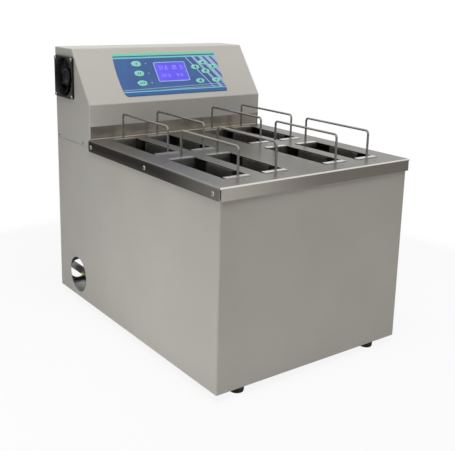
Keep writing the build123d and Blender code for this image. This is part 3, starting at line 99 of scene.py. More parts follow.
class Graph:
    """A shader node tree while it is being wired."""

    def __init__(self, tree: bpy.types.NodeTree) -> None:
        """Starts on an empty tree."""
        self.tree = tree
        self.count = 0

    def node(self, kind: str, inputs: Inputs | None = None, **values: object) -> bpy.types.Node:
        """Adds a node.

        Args:
            kind: The node's type.
            inputs: What its inputs take: sockets, numbers, vectors or linear colours.
            **values: Properties to set on it.

        Returns:
            The new node.
        """
        made = self.tree.nodes.new(kind)
        made.location = (240 * (self.count // 5), -220 * (self.count % 5))
        self.count += 1
        for name, value in values.items():
            setattr(made, name, value)
        for key, value in (inputs or {}).items():
            socket = made.inputs[key]
            if isinstance(value, Socket):
                self.tree.links.new(value, socket)
            else:
                socket.default_value = (*value, 1.0) if socket.type == "RGBA" else value
        return made

    def math(self, operation: str, first: object, second: object = 0.0) -> Socket:
        """Works out one sum."""
        return self.node("ShaderNodeMath", {0: first, 1: second}, operation=operation).outputs[0]

    def times(self, first: object, *others: object) -> Socket:
        """Multiplies values in turn.

        Args:
            first: The first value.
            *others: The values to multiply it by.

        Returns:
            The product.
        """
        for other in others:
            first = self.math("MULTIPLY", first, other)
        return first

    def span(self, value: object, low: float, high: float) -> Socket:
        """Rises smoothly from 0 to 1 while a value goes from low to high."""
        inputs = {"Value": value, "From Min": low, "From Max": high}
        return self.node("ShaderNodeMapRange", inputs, interpolation_type="SMOOTHSTEP").outputs["Result"]

    def blend(self, share: object, first: object, second: object) -> Socket:
        """Mixes two colours by the share of the second."""
        return self.node("ShaderNodeMix", {0: share, 6: first, 7: second}, data_type="RGBA").outputs[2]

    def vector(self, operation: str, output: str, *values: object) -> Socket:
        """Works out one sum of vectors."""
        inputs = dict(enumerate(values))
        return self.node("ShaderNodeVectorMath", inputs, operation=operation).outputs[output]

    def along(self, place: object, direction: Point) -> Socket:
        """Measures how far a place lies along a direction."""
        return self.vector("DOT_PRODUCT", "Value", place, direction)

    def turned(self, direction: Point) -> Socket:
        """Measures how far the surface faces a direction."""
        return self.along(self.node("ShaderNodeNewGeometry").outputs["Normal"], direction)

    def noise(self, place: object, scale: object, detail: float) -> Socket:
        """Draws soft noise, about 0.3 to 0.7, with a count of blots per metre."""
        inputs = {"Vector": place, "Scale": scale, "Detail": detail}
        return self.node("ShaderNodeTexNoise", inputs).outputs["Fac"]

    def patches(self, place: object, scale: object, detail: float, low: float, high: float) -> Socket:
        """Draws patches: noise that rises from 0 to 1 between two levels."""
        return self.span(self.noise(place, scale, detail), low, high)

    def zones(self, value: object, stops: Sequence[tuple[float, Colour]]) -> Socket:
        """Colours a value by zones that meet in hard lines.

        Args:
            value: The value, from 0 to 1.
            stops: Where each colour starts, in order.

        Returns:
            The colour.
        """
        made = self.node("ShaderNodeValToRGB", {"Fac": value})
        ramp = made.color_ramp
        ramp.interpolation = "CONSTANT"
        while len(ramp.elements) < len(stops):
            ramp.elements.new(0.5)
        for element, (position, colour) in zip(ramp.elements, stops):
            element.position = position
            element.color = (*colour, 1.0)
        return made.outputs["Color"]

    def effect(self, effect: "Effect", **values: object) -> Sockets:
        """Places a shared effect with its own values."""
        return self.node("ShaderNodeGroup", values, node_tree=effects.get(effect)).outputs

    def rays(self, *kinds: str) -> Socket:
        """Gives 1 for some kinds of ray and 0 for the others.

        Args:
            *kinds: The kinds of ray.

        Returns:
            The mask.
        """
        path = self.node("ShaderNodeLightPath").outputs
        mask = path[f"Is {kinds[0]} Ray"]
        for kind in kinds[1:]:
            mask = self.math("MAXIMUM", mask, path[f"Is {kind} Ray"])
        return mask

    def finish(self, kind: str, first: Socket, share: object = 0.0, second: Socket | None = None) -> None:
        """Wires the surface to the tree's output, mixed from two shaders where there are two.

        Args:
            kind: The output's kind, Material or World.
            first: The first shader.
            share: How much of the second shader shows.
            second: The second shader.
        """
        if second is not None:
            first = self.node("ShaderNodeMixShader", {0: share, 1: first, 2: second}).outputs["Shader"]
        self.node(f"ShaderNodeOutput{kind}", {"Surface": first})


def emptied(holder: bpy.types.Material | bpy.types.World) -> Graph:
    """Opens the graph of a material or world, with its first nodes cleared.

    Args:
        holder: The material or world.

    Returns:
        Its empty graph.
    """
    holder.use_nodes = True
    holder.node_tree.nodes.clear()
    return Graph(holder.node_tree)


class Effect(Enum):
    """The effects that several finishes share: the maker's name and the group's inputs."""

    PEEL = ("peel", "Place Scale Patch")
    GRAIN = ("grain", "Place Stretch Scale Patch")
    SMUDGE = ("smudge", "Place Level Reach Patch")
    DUST = ("dust", "Place Amount")
    SCUFF = ("scuff", "Place Amount")


class Effects:
    """Builds each shared node group once."""

    def __init__(self) -> None:
        """Starts with nothing built."""
        self.built: dict[Effect, bpy.types.NodeTree] = {}

    def get(self, effect: Effect) -> bpy.types.NodeTree:
        """Gives an effect's node group, built at its first use.

        Args:
            effect: Which effect.

        Returns:
            Its node tree.
        """
        if effect in self.built:
            return self.built[effect]
        name, inputs = effect.value
        tree = bpy.data.node_groups.new(f"thawer_{name}", "ShaderNodeTree")
        for socket in inputs.split():
            kind = "NodeSocketVector" if socket in ("Place", "Stretch") else "NodeSocketFloat"
            tree.interface.new_socket(name=socket, in_out="INPUT", socket_type=kind)
        graph = Graph(tree)
        outputs = getattr(self, name)(graph, graph.node("NodeGroupInput").outputs)
        for socket in outputs:
            tree.interface.new_socket(name=socket, in_out="OUTPUT", socket_type="NodeSocketFloat")
        graph.node("NodeGroupOutput", outputs)
        self.built[effect] = tree
        return tree

    def peel(self, graph: Graph, given: Sockets) -> Sockets:
        """Draws the orange peel of sprayed paint, with slow drifts of tone."""
        drift = graph.patches(given["Place"], given["Patch"], 3.0, 0.3, 0.7)
        return {"Height": graph.noise(given["Place"], given["Scale"], 1.0), "Tone": drift}

    def grain(self, graph: Graph, given: Sockets) -> Sockets:
        """Draws the long fine scratches of rolled or brushed metal.

        Args:
            graph: The group's graph.
            given: The group's inputs.

        Returns:
            The group's outputs.
        """
        drawn = graph.vector("MULTIPLY", "Vector", given["Place"], given["Stretch"])
        lines = graph.noise(drawn, given["Scale"], 3.0)
        cloud = graph.noise(given["Place"], given["Patch"], 2.0)
        both = graph.math("ADD", graph.times(lines, 0.5), graph.times(cloud, 0.5))
        return {"Height": lines, "Tone": graph.span(both, 0.34, 0.66)}

    def smudge(self, graph: Graph, given: Sockets) -> Sockets:
        """Draws a roughness that wanders, as on a wiped and handled surface."""
        blots = graph.math("SUBTRACT", graph.noise(given["Place"], given["Patch"], 4.0), 0.5)
        return {"Roughness": graph.math("ADD", given["Level"], graph.times(blots, given["Reach"]))}

    def dust(self, graph: Graph, given: Sockets) -> Sockets:
        """Draws the thin dust that lies on faces that look up."""
        specks = graph.patches(given["Place"], 55.0, 5.0, 0.42, 0.72)
        return {"Mask": graph.times(specks, graph.span(graph.turned(UP), 0.45, 0.95), given["Amount"])}

    def scuff(self, graph: Graph, given: Sockets) -> Sockets:
        """Draws sparse small scuffs where cartons and hands have rubbed.

        Args:
            graph: The group's graph.
            given: The group's inputs.

        Returns:
            The group's outputs.
        """
        drawn = graph.vector("MULTIPLY", "Vector", given["Place"], (1.0, 1.0, 3.0))
        marks = graph.patches(drawn, 160.0, 4.0, 0.66, 0.72)
        where = graph.patches(given["Place"], 6.0, 1.0, 0.52, 0.66)
        return {"Mask": graph.times(marks, where, given["Amount"])}


effects = Effects()


@dataclass(frozen=True)
class Skin:
    """What a finish is wired from: its graph, places on the object, and a drift of tone."""

    graph: Graph
    place: Socket
    tone: Socket

    def at(self, direction: Point, low: float, high: float) -> Socket:
        """Rises from 0 to 1 between two places along a direction."""
        return self.graph.span(self.graph.along(self.place, direction), low, high)

    def smudge(self, level: float, reach: float, patch: float) -> Socket:
        """Gives a roughness that wanders about a level."""
        values = {"Place": self.place, "Level": level, "Reach": reach, "Patch": patch}
        return self.graph.effect(Effect.SMUDGE, **values)["Roughness"]


@dataclass(frozen=True)
class Finish:
    """A surface finish: two close tones, a wandering roughness and a fine relief."""

    name: str
    tone: Colour
    second: Colour
    roughness: float
    metallic: float = 0.0
    patch: float = 7.0
    wander: float = 0.12
    relief: float = 4e-5
    scale: float = 700.0
    stretch: Point | None = None
    coat: float = 0.0
    dust: float = 0.0
    dust_tone: Colour = (0.55, 0.53, 0.5)
    scuffs: float = 0.0
    scuff_tone: Colour = (0.6, 0.6, 0.58)
    specular: float = 0.5
    edge_tint: Colour = WHITE

    def colour(self, skin: Skin) -> Socket:
        """Gives the colour over the surface."""
        return skin.graph.blend(skin.tone, self.tone, self.second)

    def rough(self, skin: Skin) -> Socket:
        """Gives the roughness over the surface."""
        return skin.smudge(self.roughness, self.wander, self.patch * 3)

    def glow(self, colour: Socket) -> Inputs:
        """Gives the shader's inputs for light from inside; most finishes have none."""
        return {}

    def material(self) -> bpy.types.Material:
        """Builds the material once and gives it.

        Returns:
            The material.
        """
        known = bpy.data.materials.get(self.name)
        if known is not None:
            return known
        made = bpy.data.materials.new(self.name)
        graph = emptied(made)
        place = graph.node("ShaderNodeTexCoord").outputs["Object"]
        sizes = {"Place": place, "Scale": self.scale, "Patch": self.patch}
        if self.stretch is None:
            fine = graph.effect(Effect.PEEL, **sizes)
        else:
            fine = graph.effect(Effect.GRAIN, Stretch=self.stretch, **sizes)
        skin = Skin(graph, place, fine["Tone"])
        colour = self.colour(skin)
        scuffs = (Effect.SCUFF, self.scuffs, self.scuff_tone)
        for effect, amount, tone in (scuffs, (Effect.DUST, self.dust, self.dust_tone)):
            if amount:
                mask = graph.effect(effect, Place=place, Amount=amount)["Mask"]
                colour = graph.blend(mask, colour, tone)
        relief = {"Strength": 1.0, "Distance": self.relief, "Height": fine["Height"]}
        shader = graph.node("ShaderNodeBsdfPrincipled", {
            "Base Color": colour,
            "Metallic": self.metallic,
            "Coat Weight": self.coat,
            "Specular IOR Level": self.specular,
            "Specular Tint": self.edge_tint,
            "Roughness": self.rough(skin),
            "Normal": graph.node("ShaderNodeBump", relief).outputs["Normal"],
            **self.glow(colour),
        })
        graph.finish("Material", shader.outputs["BSDF"])
        return made


@dataclass(frozen=True)
class DeckFinish(Finish):
    """Rolled stainless sheet with painted light: painted shade on the lips that lightens toward the front,
    painted highlights and a painted reflection, near a mirror on the upstand.
    """

    # Painted shade: a darker band down the middle of the deck's top, its edge wavered by the cloud noise.
    middle_tone: Colour = (0.27, 0.265, 0.255)
    middle_reach: Flat = (0.13, 0.05)
    cloud: float = 0.09
    cloud_scale: float = 5.0
    # Painted shade on the side lips, painted lighter toward their front end and their foot as a painted
    # reflection.
    lip_tone: Colour = (0.055, 0.051, 0.047)
    lip_end_tone: Colour = (0.27, 0.256, 0.236)
    lip_run: Flat = (0.05, 0.29)
    lip_foot: Flat = (-0.336, -0.325)
    lip_foot_share: float = 0.22
    # Painted shade on the faces that look ahead, with a painted sheen that grows toward the front lip's
    # left end.
    front_tone: Colour = (0.3, 0.272, 0.238)
    wiped_tone: Colour = (0.62, 0.585, 0.54)
    wiped_run: Flat = (-0.02, 0.21)
    # Painted highlight along the rounded bends that face up and forward.
    bend_tone: Colour = (0.74, 0.72, 0.68)
    # Painted reflection: a brighter brownish tone on the upstand.
    upstand_tone: Colour = (0.4, 0.36, 0.31)
    sideways: Flat = (0.35, 0.9)
    bend_facing: Point = (0.0, -0.7071, 0.7071)
    bend_reach: Flat = (0.84, 0.97)
    blots: float = 20.0
    mirror: float = 0.28

    def raised(self, skin: Skin) -> Socket:
        """Masks the upstand, over the deck's top."""
        return skin.at(UP, DECK_TOP, DECK_TOP + 0.001)

    def colour(self, skin: Skin) -> Socket:
        """Gives the sheet's tones, with painted light: a painted darker middle band, painted shade and
        sheen on the lips, a painted highlight on the bends and a painted reflection on the upstand.

        Args:
            skin: What the finish is wired from.

        Returns:
            The colour.
        """
        graph = skin.graph
        cloud = graph.times(graph.noise(skin.place, self.cloud_scale, 1.0), self.cloud)
        off = graph.math("ADD", graph.math("ABSOLUTE", graph.along(skin.place, RIGHT)), cloud)
        # Painted reflection on the side lips: lighter toward their front end and, a little, toward their
        # foot.
        run = skin.at(AHEAD, *self.lip_run)
        foot = graph.times(skin.at(DOWN, *self.lip_foot), self.lip_foot_share)
        lip_sheen = graph.math("MAXIMUM", graph.times(run, run), foot)
        sheet = super().colour(skin)
        for mask, tone in (
            # Painted shade in the middle band of the top.
            (graph.span(off, *self.middle_reach), self.middle_tone),
            (
                graph.span(graph.math("ABSOLUTE", graph.turned(RIGHT)), *self.sideways),
                graph.blend(lip_sheen, self.lip_tone, self.lip_end_tone),
            ),
            # Painted shade on the front lip, with a painted sheen toward its left end.
            (
                graph.span(graph.turned(AHEAD), *self.sideways),
                graph.blend(skin.at(LEFT, *self.wiped_run), self.front_tone, self.wiped_tone),
            ),
            # Painted highlight on the bends.
            (graph.span(graph.turned(self.bend_facing), *self.bend_reach), self.bend_tone),
            # Painted reflection tint on the upstand.
            (self.raised(skin), self.upstand_tone),
        ):
            sheet = graph.blend(mask, sheet, tone)
        return sheet

    def rough(self, skin: Skin) -> Socket:
        """Gives the roughness: glossier on the upstand."""
        less = skin.graph.times(self.raised(skin), self.roughness - self.mirror)
        return skin.graph.math("SUBTRACT", skin.smudge(self.roughness, self.wander, self.blots), less)


@dataclass(frozen=True)
class BasketFinish(Finish):
    """Folded stainless sheet, with a painted highlight on the upward faces of its flanges over the deck.
    """

    flange_tone: Colour = (0.62, 0.61, 0.585)

    def colour(self, skin: Skin) -> Socket:
        """Gives the sheet's tones, with a painted highlight on the flanges' upward faces.

        Args:
            skin: What the finish is wired from.

        Returns:
            The colour.
        """
        graph = skin.graph
        raised = graph.math("GREATER_THAN", graph.along(skin.place, UP), DECK_TOP)
        # Painted highlight on the flanges' upward faces over the deck.
        flange = graph.times(graph.span(graph.turned(UP), 0.5, 0.9), raised)
        return graph.blend(flange, super().colour(skin), self.flange_tone)


@dataclass(frozen=True)
class FilmFinish(Finish):
    """The printed film over the keypad: bands across it, and slanted bars at its right end."""

    reach: float = 0.12
    bands: tuple[tuple[float, Colour], ...] = ()
    field_low: float = 0.0228
    field_high: float = 0.096
    streak_tone: Colour = (0.5, 0.6, 0.75)
    streak_pitch: float = 0.0046
    streak_share: float = 0.3
    streak_strength: float = 0.65
    streak_climb: float = 0.022
    streak_low: float = 0.0235
    streak_high: float = 0.032
    bar_tone: Colour = (0.45, 0.57, 0.76)
    bar_start: float = 0.104
    bar_slant: float = 0.62
    bar_pitch: float = 0.0165
    bar_least: float = 0.14
    bar_gain: float = 11.0
    bar_most: float = 0.52
    bar_strength: float = 0.85

    def colour(self, skin: Skin) -> Socket:
        """Prints the film's bands, thin streaks and slanted bars.

        Args:
            skin: What the finish is wired from.

        Returns:
            The colour.
        """
        graph = skin.graph
        sums = graph.math
        start = Vector(SLOPE_FOOT).dot(Vector(SLOPE_CLIMB))
        height = sums("SUBTRACT", graph.along(skin.place, SLOPE_CLIMB), start)
        across = graph.along(skin.place, RIGHT)
        stops = [(edge / self.reach, tone) for edge, tone in self.bands]
        bands = graph.zones(sums("DIVIDE", height, self.reach), stops)
        under = sums("LESS_THAN", height, self.field_high)
        inside = graph.times(sums("GREATER_THAN", height, self.field_low), under)
        printed = graph.blend(inside, bands, super().colour(skin))
        rising = sums("SUBTRACT", height, graph.times(across, self.streak_climb))
        line = sums("FRACT", sums("DIVIDE", rising, self.streak_pitch))
        low = graph.times(
            sums("LESS_THAN", rising, self.streak_high), sums("GREATER_THAN", height, self.streak_low)
        )
        faded = graph.times(sums("LESS_THAN", line, self.streak_share), low, self.streak_strength)
        printed = graph.blend(faded, printed, self.streak_tone)
        lean = sums("ADD", across, graph.times(height, self.bar_slant))
        run = sums("SUBTRACT", lean, self.bar_start)
        step = sums("FRACT", sums("DIVIDE", run, self.bar_pitch))
        wide = sums("ADD", sums("MINIMUM", graph.times(run, self.bar_gain), self.bar_most), self.bar_least)
        begun = sums("GREATER_THAN", lean, self.bar_start)
        bars = graph.times(sums("LESS_THAN", step, wide), begun, inside, self.bar_strength)
        return graph.blend(bars, printed, self.bar_tone)


@dataclass(frozen=True)
class GlowFinish(Finish):
    """A lit display face."""

    strength: float = 0.8

    def glow(self, colour: Socket) -> Inputs:
        """Lights the surface in its own colour."""
        return {"Emission Color": colour, "Emission Strength": self.strength}


@dataclass(frozen=True)
class BoardFinish(Finish):
    """A circuit board: green lacquer with paler tracks."""

    track_tone: Colour = (0.1, 0.28, 0.1)
    cells: float = 160.0

    def colour(self, skin: Skin) -> Socket:
        """Gives the lacquer's colour with its tracks.

        Args:
            skin: What the finish is wired from.

        Returns:
            The colour.
        """
        graph = skin.graph
        inputs = {"Vector": skin.place, "Scale": self.cells}
        cells = graph.node("ShaderNodeTexVoronoi", inputs, distance="MANHATTAN", feature="F1")
        track = graph.span(cells.outputs["Distance"], 0.55, 0.6)
        return graph.blend(track, super().colour(skin), self.track_tone)


def steel(name: str, first: Colour, second: Colour, roughness: float, **values: object) -> Finish:
    """Gives a bare metal finish."""
    return Finish(name, first, second, roughness, metallic=1.0, **values)


PAINT = Finish(
    "warm_grey_paint", seen(198, 195, 188), seen(193, 190, 182), 0.42, relief=3e-5, scale=900.0,
    wander=0.08, dust=0.08, scuffs=0.25, scuff_tone=seen(176, 172, 164),
)
DECK = DeckFinish(
    "deck_stainless", (0.31, 0.304, 0.293), (0.39, 0.383, 0.367), 0.34, metallic=1.0, wander=0.08,
    edge_tint=(0.68, 0.67, 0.645), stretch=(1.0, 22.0, 22.0), relief=1.2e-5, scale=60.0,
)
BASKET = BasketFinish(
    "basket_stainless", (0.46, 0.45, 0.43), (0.58, 0.57, 0.545), 0.3, metallic=1.0,
    stretch=(20.0, 20.0, 1.0), relief=1e-5, scale=60.0, wander=0.14,
)
WIRE = steel(
    "handle_wire", (0.27, 0.255, 0.23), (0.36, 0.34, 0.31), 0.28, stretch=(12.0, 1.0, 12.0),
    relief=6e-6, scale=220.0, patch=40.0,
)
WELD = steel(
    "weld_bead", (0.24, 0.22, 0.19), (0.34, 0.315, 0.28), 0.42, relief=1e-4, scale=1400.0, patch=260.0
)
TANK = steel(
    "tank_stainless", (0.12, 0.118, 0.112), (0.2, 0.198, 0.19), 0.36, stretch=(1.0, 1.0, 24.0),
    relief=1.5e-5, scale=50.0,
)
INNER = steel(
    "galvanised_sheet", (0.42, 0.42, 0.415), (0.54, 0.54, 0.53), 0.44, patch=60.0, relief=1e-5,
    scale=260.0, wander=0.2,
)
RUBBER = Finish("black_rubber", grey(0.012), grey(0.022), 0.72, relief=6e-5, scale=1500.0, dust=0.3)
# Painted shade: a near-black strip that stands for the shadow line in the seam under the hood.
SEAM_SHADE = Finish(
    "seam_shade_strip", (0.03, 0.028, 0.025), (0.045, 0.042, 0.038), 0.7, relief=3e-5, scale=1500.0,
    patch=60.0,
)
FAN_BLACK = Finish(
    "fan_black", (0.005, 0.005, 0.006), (0.01, 0.01, 0.011), 0.5, relief=3e-5, scale=1800.0, patch=30.0,
    specular=0.3,
)
BLADE_BLACK = Finish(
    "blade_black", (0.003, 0.003, 0.0035), (0.006, 0.006, 0.0065), 0.4, relief=2e-5, scale=1200.0,
    patch=40.0, specular=0.14,
)
CHROME = steel(
    "screw_chrome", (0.46, 0.45, 0.43), (0.6, 0.59, 0.57), 0.26, relief=1e-5, scale=2500.0, patch=300.0
)
RECESS = steel("screw_recess", grey(0.05), grey(0.11), 0.5, relief=2e-5, scale=3000.0, patch=300.0)
FILM = FilmFinish(
    "printed_film", seen(68, 104, 160), seen(60, 94, 150), 0.38, relief=1e-5, scale=2500.0,
    patch=18.0, wander=0.08, bands=(
        (0.0, seen(60, 100, 155)), (0.0205, seen(126, 208, 222)), (0.0228, seen(64, 100, 155)),
        (0.096, seen(126, 204, 216)), (0.0992, seen(58, 100, 140)), (0.1018, seen(128, 214, 186)),
    ),
)
# The keys' pale rim colour is a painted highlight round each key's edge.
KEY_MINT, KEY_RIM_HIGHLIGHT, KEY_MARK = (
    Finish(name, first, second, roughness, relief=1e-5, scale=2500.0, patch=patch)
    for name, first, second, roughness, patch in (
        ("key_mint", seen(136, 218, 202), seen(146, 224, 210), 0.36, 90.0),
        ("key_rim", seen(178, 232, 230), seen(190, 238, 236), 0.34, 90.0),
        ("key_mark", seen(22, 104, 84), seen(30, 116, 92), 0.45, 200.0),
    )
)
LENS = Finish(
    "lens_red", seen(196, 168, 190), seen(214, 190, 206), 0.18, relief=4e-6, scale=2000.0, patch=200.0,
    coat=0.6,
)
PANE = GlowFinish(
    "display_violet", seen(88, 76, 218), seen(96, 88, 226), 0.3, relief=2e-6, scale=900.0, patch=26.0,
    strength=0.36,
)
DIGIT = GlowFinish(
    "display_digit", seen(168, 160, 250), seen(186, 178, 252), 0.3, relief=2e-6, scale=900.0,
    patch=60.0, strength=0.42,
)
PANE_FRAME = Finish(
    "display_frame", seen(168, 190, 246), seen(178, 202, 250), 0.3, relief=4e-6, scale=2000.0,
    patch=60.0,
)
NUMBER_INK = Finish(
    "number_ink", (0.02, 0.02, 0.022), (0.035, 0.035, 0.04), 0.5, relief=4e-6, scale=2500.0,
    patch=200.0,
)
HEATER = steel(
    "heater_sheath", (0.2, 0.18, 0.16), (0.3, 0.27, 0.24), 0.42, patch=40.0, relief=3e-5, scale=900.0
)
PROBE = steel(
    "probe_steel", (0.42, 0.42, 0.41), (0.52, 0.52, 0.51), 0.26, stretch=(20.0, 20.0, 1.0), relief=8e-6,
    scale=120.0,
)
PUMP = Finish(
    "pump_plastic", (0.03, 0.032, 0.035), (0.045, 0.047, 0.05), 0.5, relief=5e-5, scale=1100.0,
    dust=0.2,
)
MOTOR = Finish(
    "motor_paint", (0.05, 0.09, 0.16), (0.06, 0.105, 0.18), 0.4, relief=4e-5, scale=800.0, scuffs=0.4
)
HOSE = Finish(
    "hose_rubber", (0.02, 0.02, 0.021), (0.032, 0.032, 0.034), 0.6, relief=5e-5, scale=1300.0,
    dust=0.15,
)
BRASS = steel(
    "valve_brass", (0.5, 0.34, 0.12), (0.62, 0.43, 0.17), 0.3, stretch=(1.0, 16.0, 1.0), relief=1e-5,
    scale=260.0, patch=90.0,
)
LEVER = Finish(
    "lever_plastic", seen(168, 178, 60), seen(182, 190, 74), 0.45, relief=4e-5, scale=1300.0,
    patch=60.0,
)
PIPE = Finish(
    "pipe_plastic", seen(228, 228, 224), seen(236, 236, 231), 0.4, relief=3e-5, scale=1100.0,
    patch=40.0,
)
BOARD = BoardFinish(
    "board_green", (0.02, 0.11, 0.04), (0.03, 0.14, 0.05), 0.35, relief=2e-5, scale=1400.0, coat=0.4
)
CASED = Finish(
    "relay_case", (0.04, 0.045, 0.05), (0.06, 0.065, 0.07), 0.45, relief=3e-5, scale=1600.0, patch=50.0
)
INLET = Finish(
    "inlet_plastic", (0.012, 0.012, 0.013), (0.02, 0.02, 0.021), 0.4, relief=3e-5, scale=1500.0,
    patch=50.0,
)
ROCKER = Finish(
    "rocker_plastic", (0.016, 0.016, 0.018), (0.026, 0.026, 0.028), 0.26, relief=1e-5, scale=1500.0,
    patch=90.0,
)


@dataclass(frozen=True)
class Place:
    """A local frame: an origin and three directions."""

    origin: Vector
    right: Vector
    up: Vector

    def at(self, across: float, rise: float, out: float = 0.0) -> Vector:
        """Gives a point of the frame, by its distances to the right, up and out of the plane."""
        away = self.right.cross(self.up)
        return self.origin + self.right * across + self.up * rise + away * out

    def moved(self, across: float, rise: float, out: float = 0.0) -> "Place":
        """Gives the frame moved, with the same directions."""
        return Place(self.at(across, rise, out), self.right, self.up)

    def turned(self, angle: float) -> tuple[Vector, Vector]:
        """Gives the right and up directions after a turn in the plane."""
        cosine, sine = math.cos(angle), math.sin(angle)
        return self.right * cosine + self.up * sine, self.up * cosine - self.right * sine


def stand(x: float, y: float, z: float, right: Point = RIGHT, up: Point = BACK) -> Place:
    """Gives a place; without directions it lies flat and looks up."""
    return Place(Vector((x, y, z)), Vector(right), Vector(up))


def circle(radius: float, sides: int) -> list[Flat]:
    """Gives the corners of a regular outline."""
    turns = [2 * math.pi * index / sides for index in range(sides)]
    return [(radius * math.cos(turn), radius * math.sin(turn)) for turn in turns]


def rounded_box(width: float, height: float, corner: float, sides: int) -> list[Flat]:
    """Gives a box with round corners, read along evenly turned rays.

    Args:
        width: Full width.
        height: Full height.
        corner: Corner radius.
        sides: How many points.

    Returns:
        The points in order.
    """
    points: list[Flat] = []
    flat_x, flat_y = width / 2 - corner, height / 2 - corner
    for x, y in circle(1.0, sides):
        wide, tall = max(abs(x), TINY), max(abs(y), TINY)
        reach = min(width / 2 / wide, height / 2 / tall)
        if reach * wide > flat_x and reach * tall > flat_y:
            toward = wide * flat_x + tall * flat_y
            reach = toward + math.sqrt(toward**2 - flat_x**2 - flat_y**2 + corner**2)
        points.append((reach * x, reach * y))
    return points


def oval(length: float, width: float, sides: int) -> list[Flat]:
    """Gives an oval that is a little fuller than an ellipse."""
    full = [[math.copysign(abs(part) ** FULLNESS, part) for part in ray] for ray in circle(1.0, sides)]
    return [(length / 2 * x, width / 2 * y) for x, y in full]


def box(half_x: float, half_y: float, x: float = 0.0) -> list[Flat]:
    """Gives a plain box, its middle moved along x."""
    corners = ((-1, -1), (1, -1), (1, 1), (-1, 1))
    return [(x + across * half_x, rise * half_y) for across, rise in corners]


def scaled(outline: Iterable[Flat], share: float) -> list[Flat]:
    """Scales an outline about its middle."""
    return [(x * share, y * share) for x, y in outline]


def bent(corners: Sequence[Point], bend: float, chords: int = 8) -> list[Vector]:
    """Rounds the corners of a bent wire or tube.

    Args:
        corners: The route's corners.
        bend: Bend radius at the middle of the wire.
        chords: Chords of each bend.

    Returns:
        The points of the route.
    """
    spots = [Vector(corner) for corner in corners]
    route = [spots[0]]
    for before, corner, after in zip(spots, spots[1:], spots[2:]):
        back, ahead = (before - corner).normalized(), (after - corner).normalized()
        half = back.angle(ahead) / 2
        start = corner + back * bend / math.tan(half)
        middle = corner + (back + ahead).normalized() * bend / math.sin(half)
        arm = start - middle
        axis = arm.cross(corner - middle).normalized()
        sweep = math.pi - 2 * half
        for index in range(chords + 1):
            route.append(middle + Matrix.Rotation(sweep * index / chords, 3, axis) @ arm)
    return route + [spots[-1]]


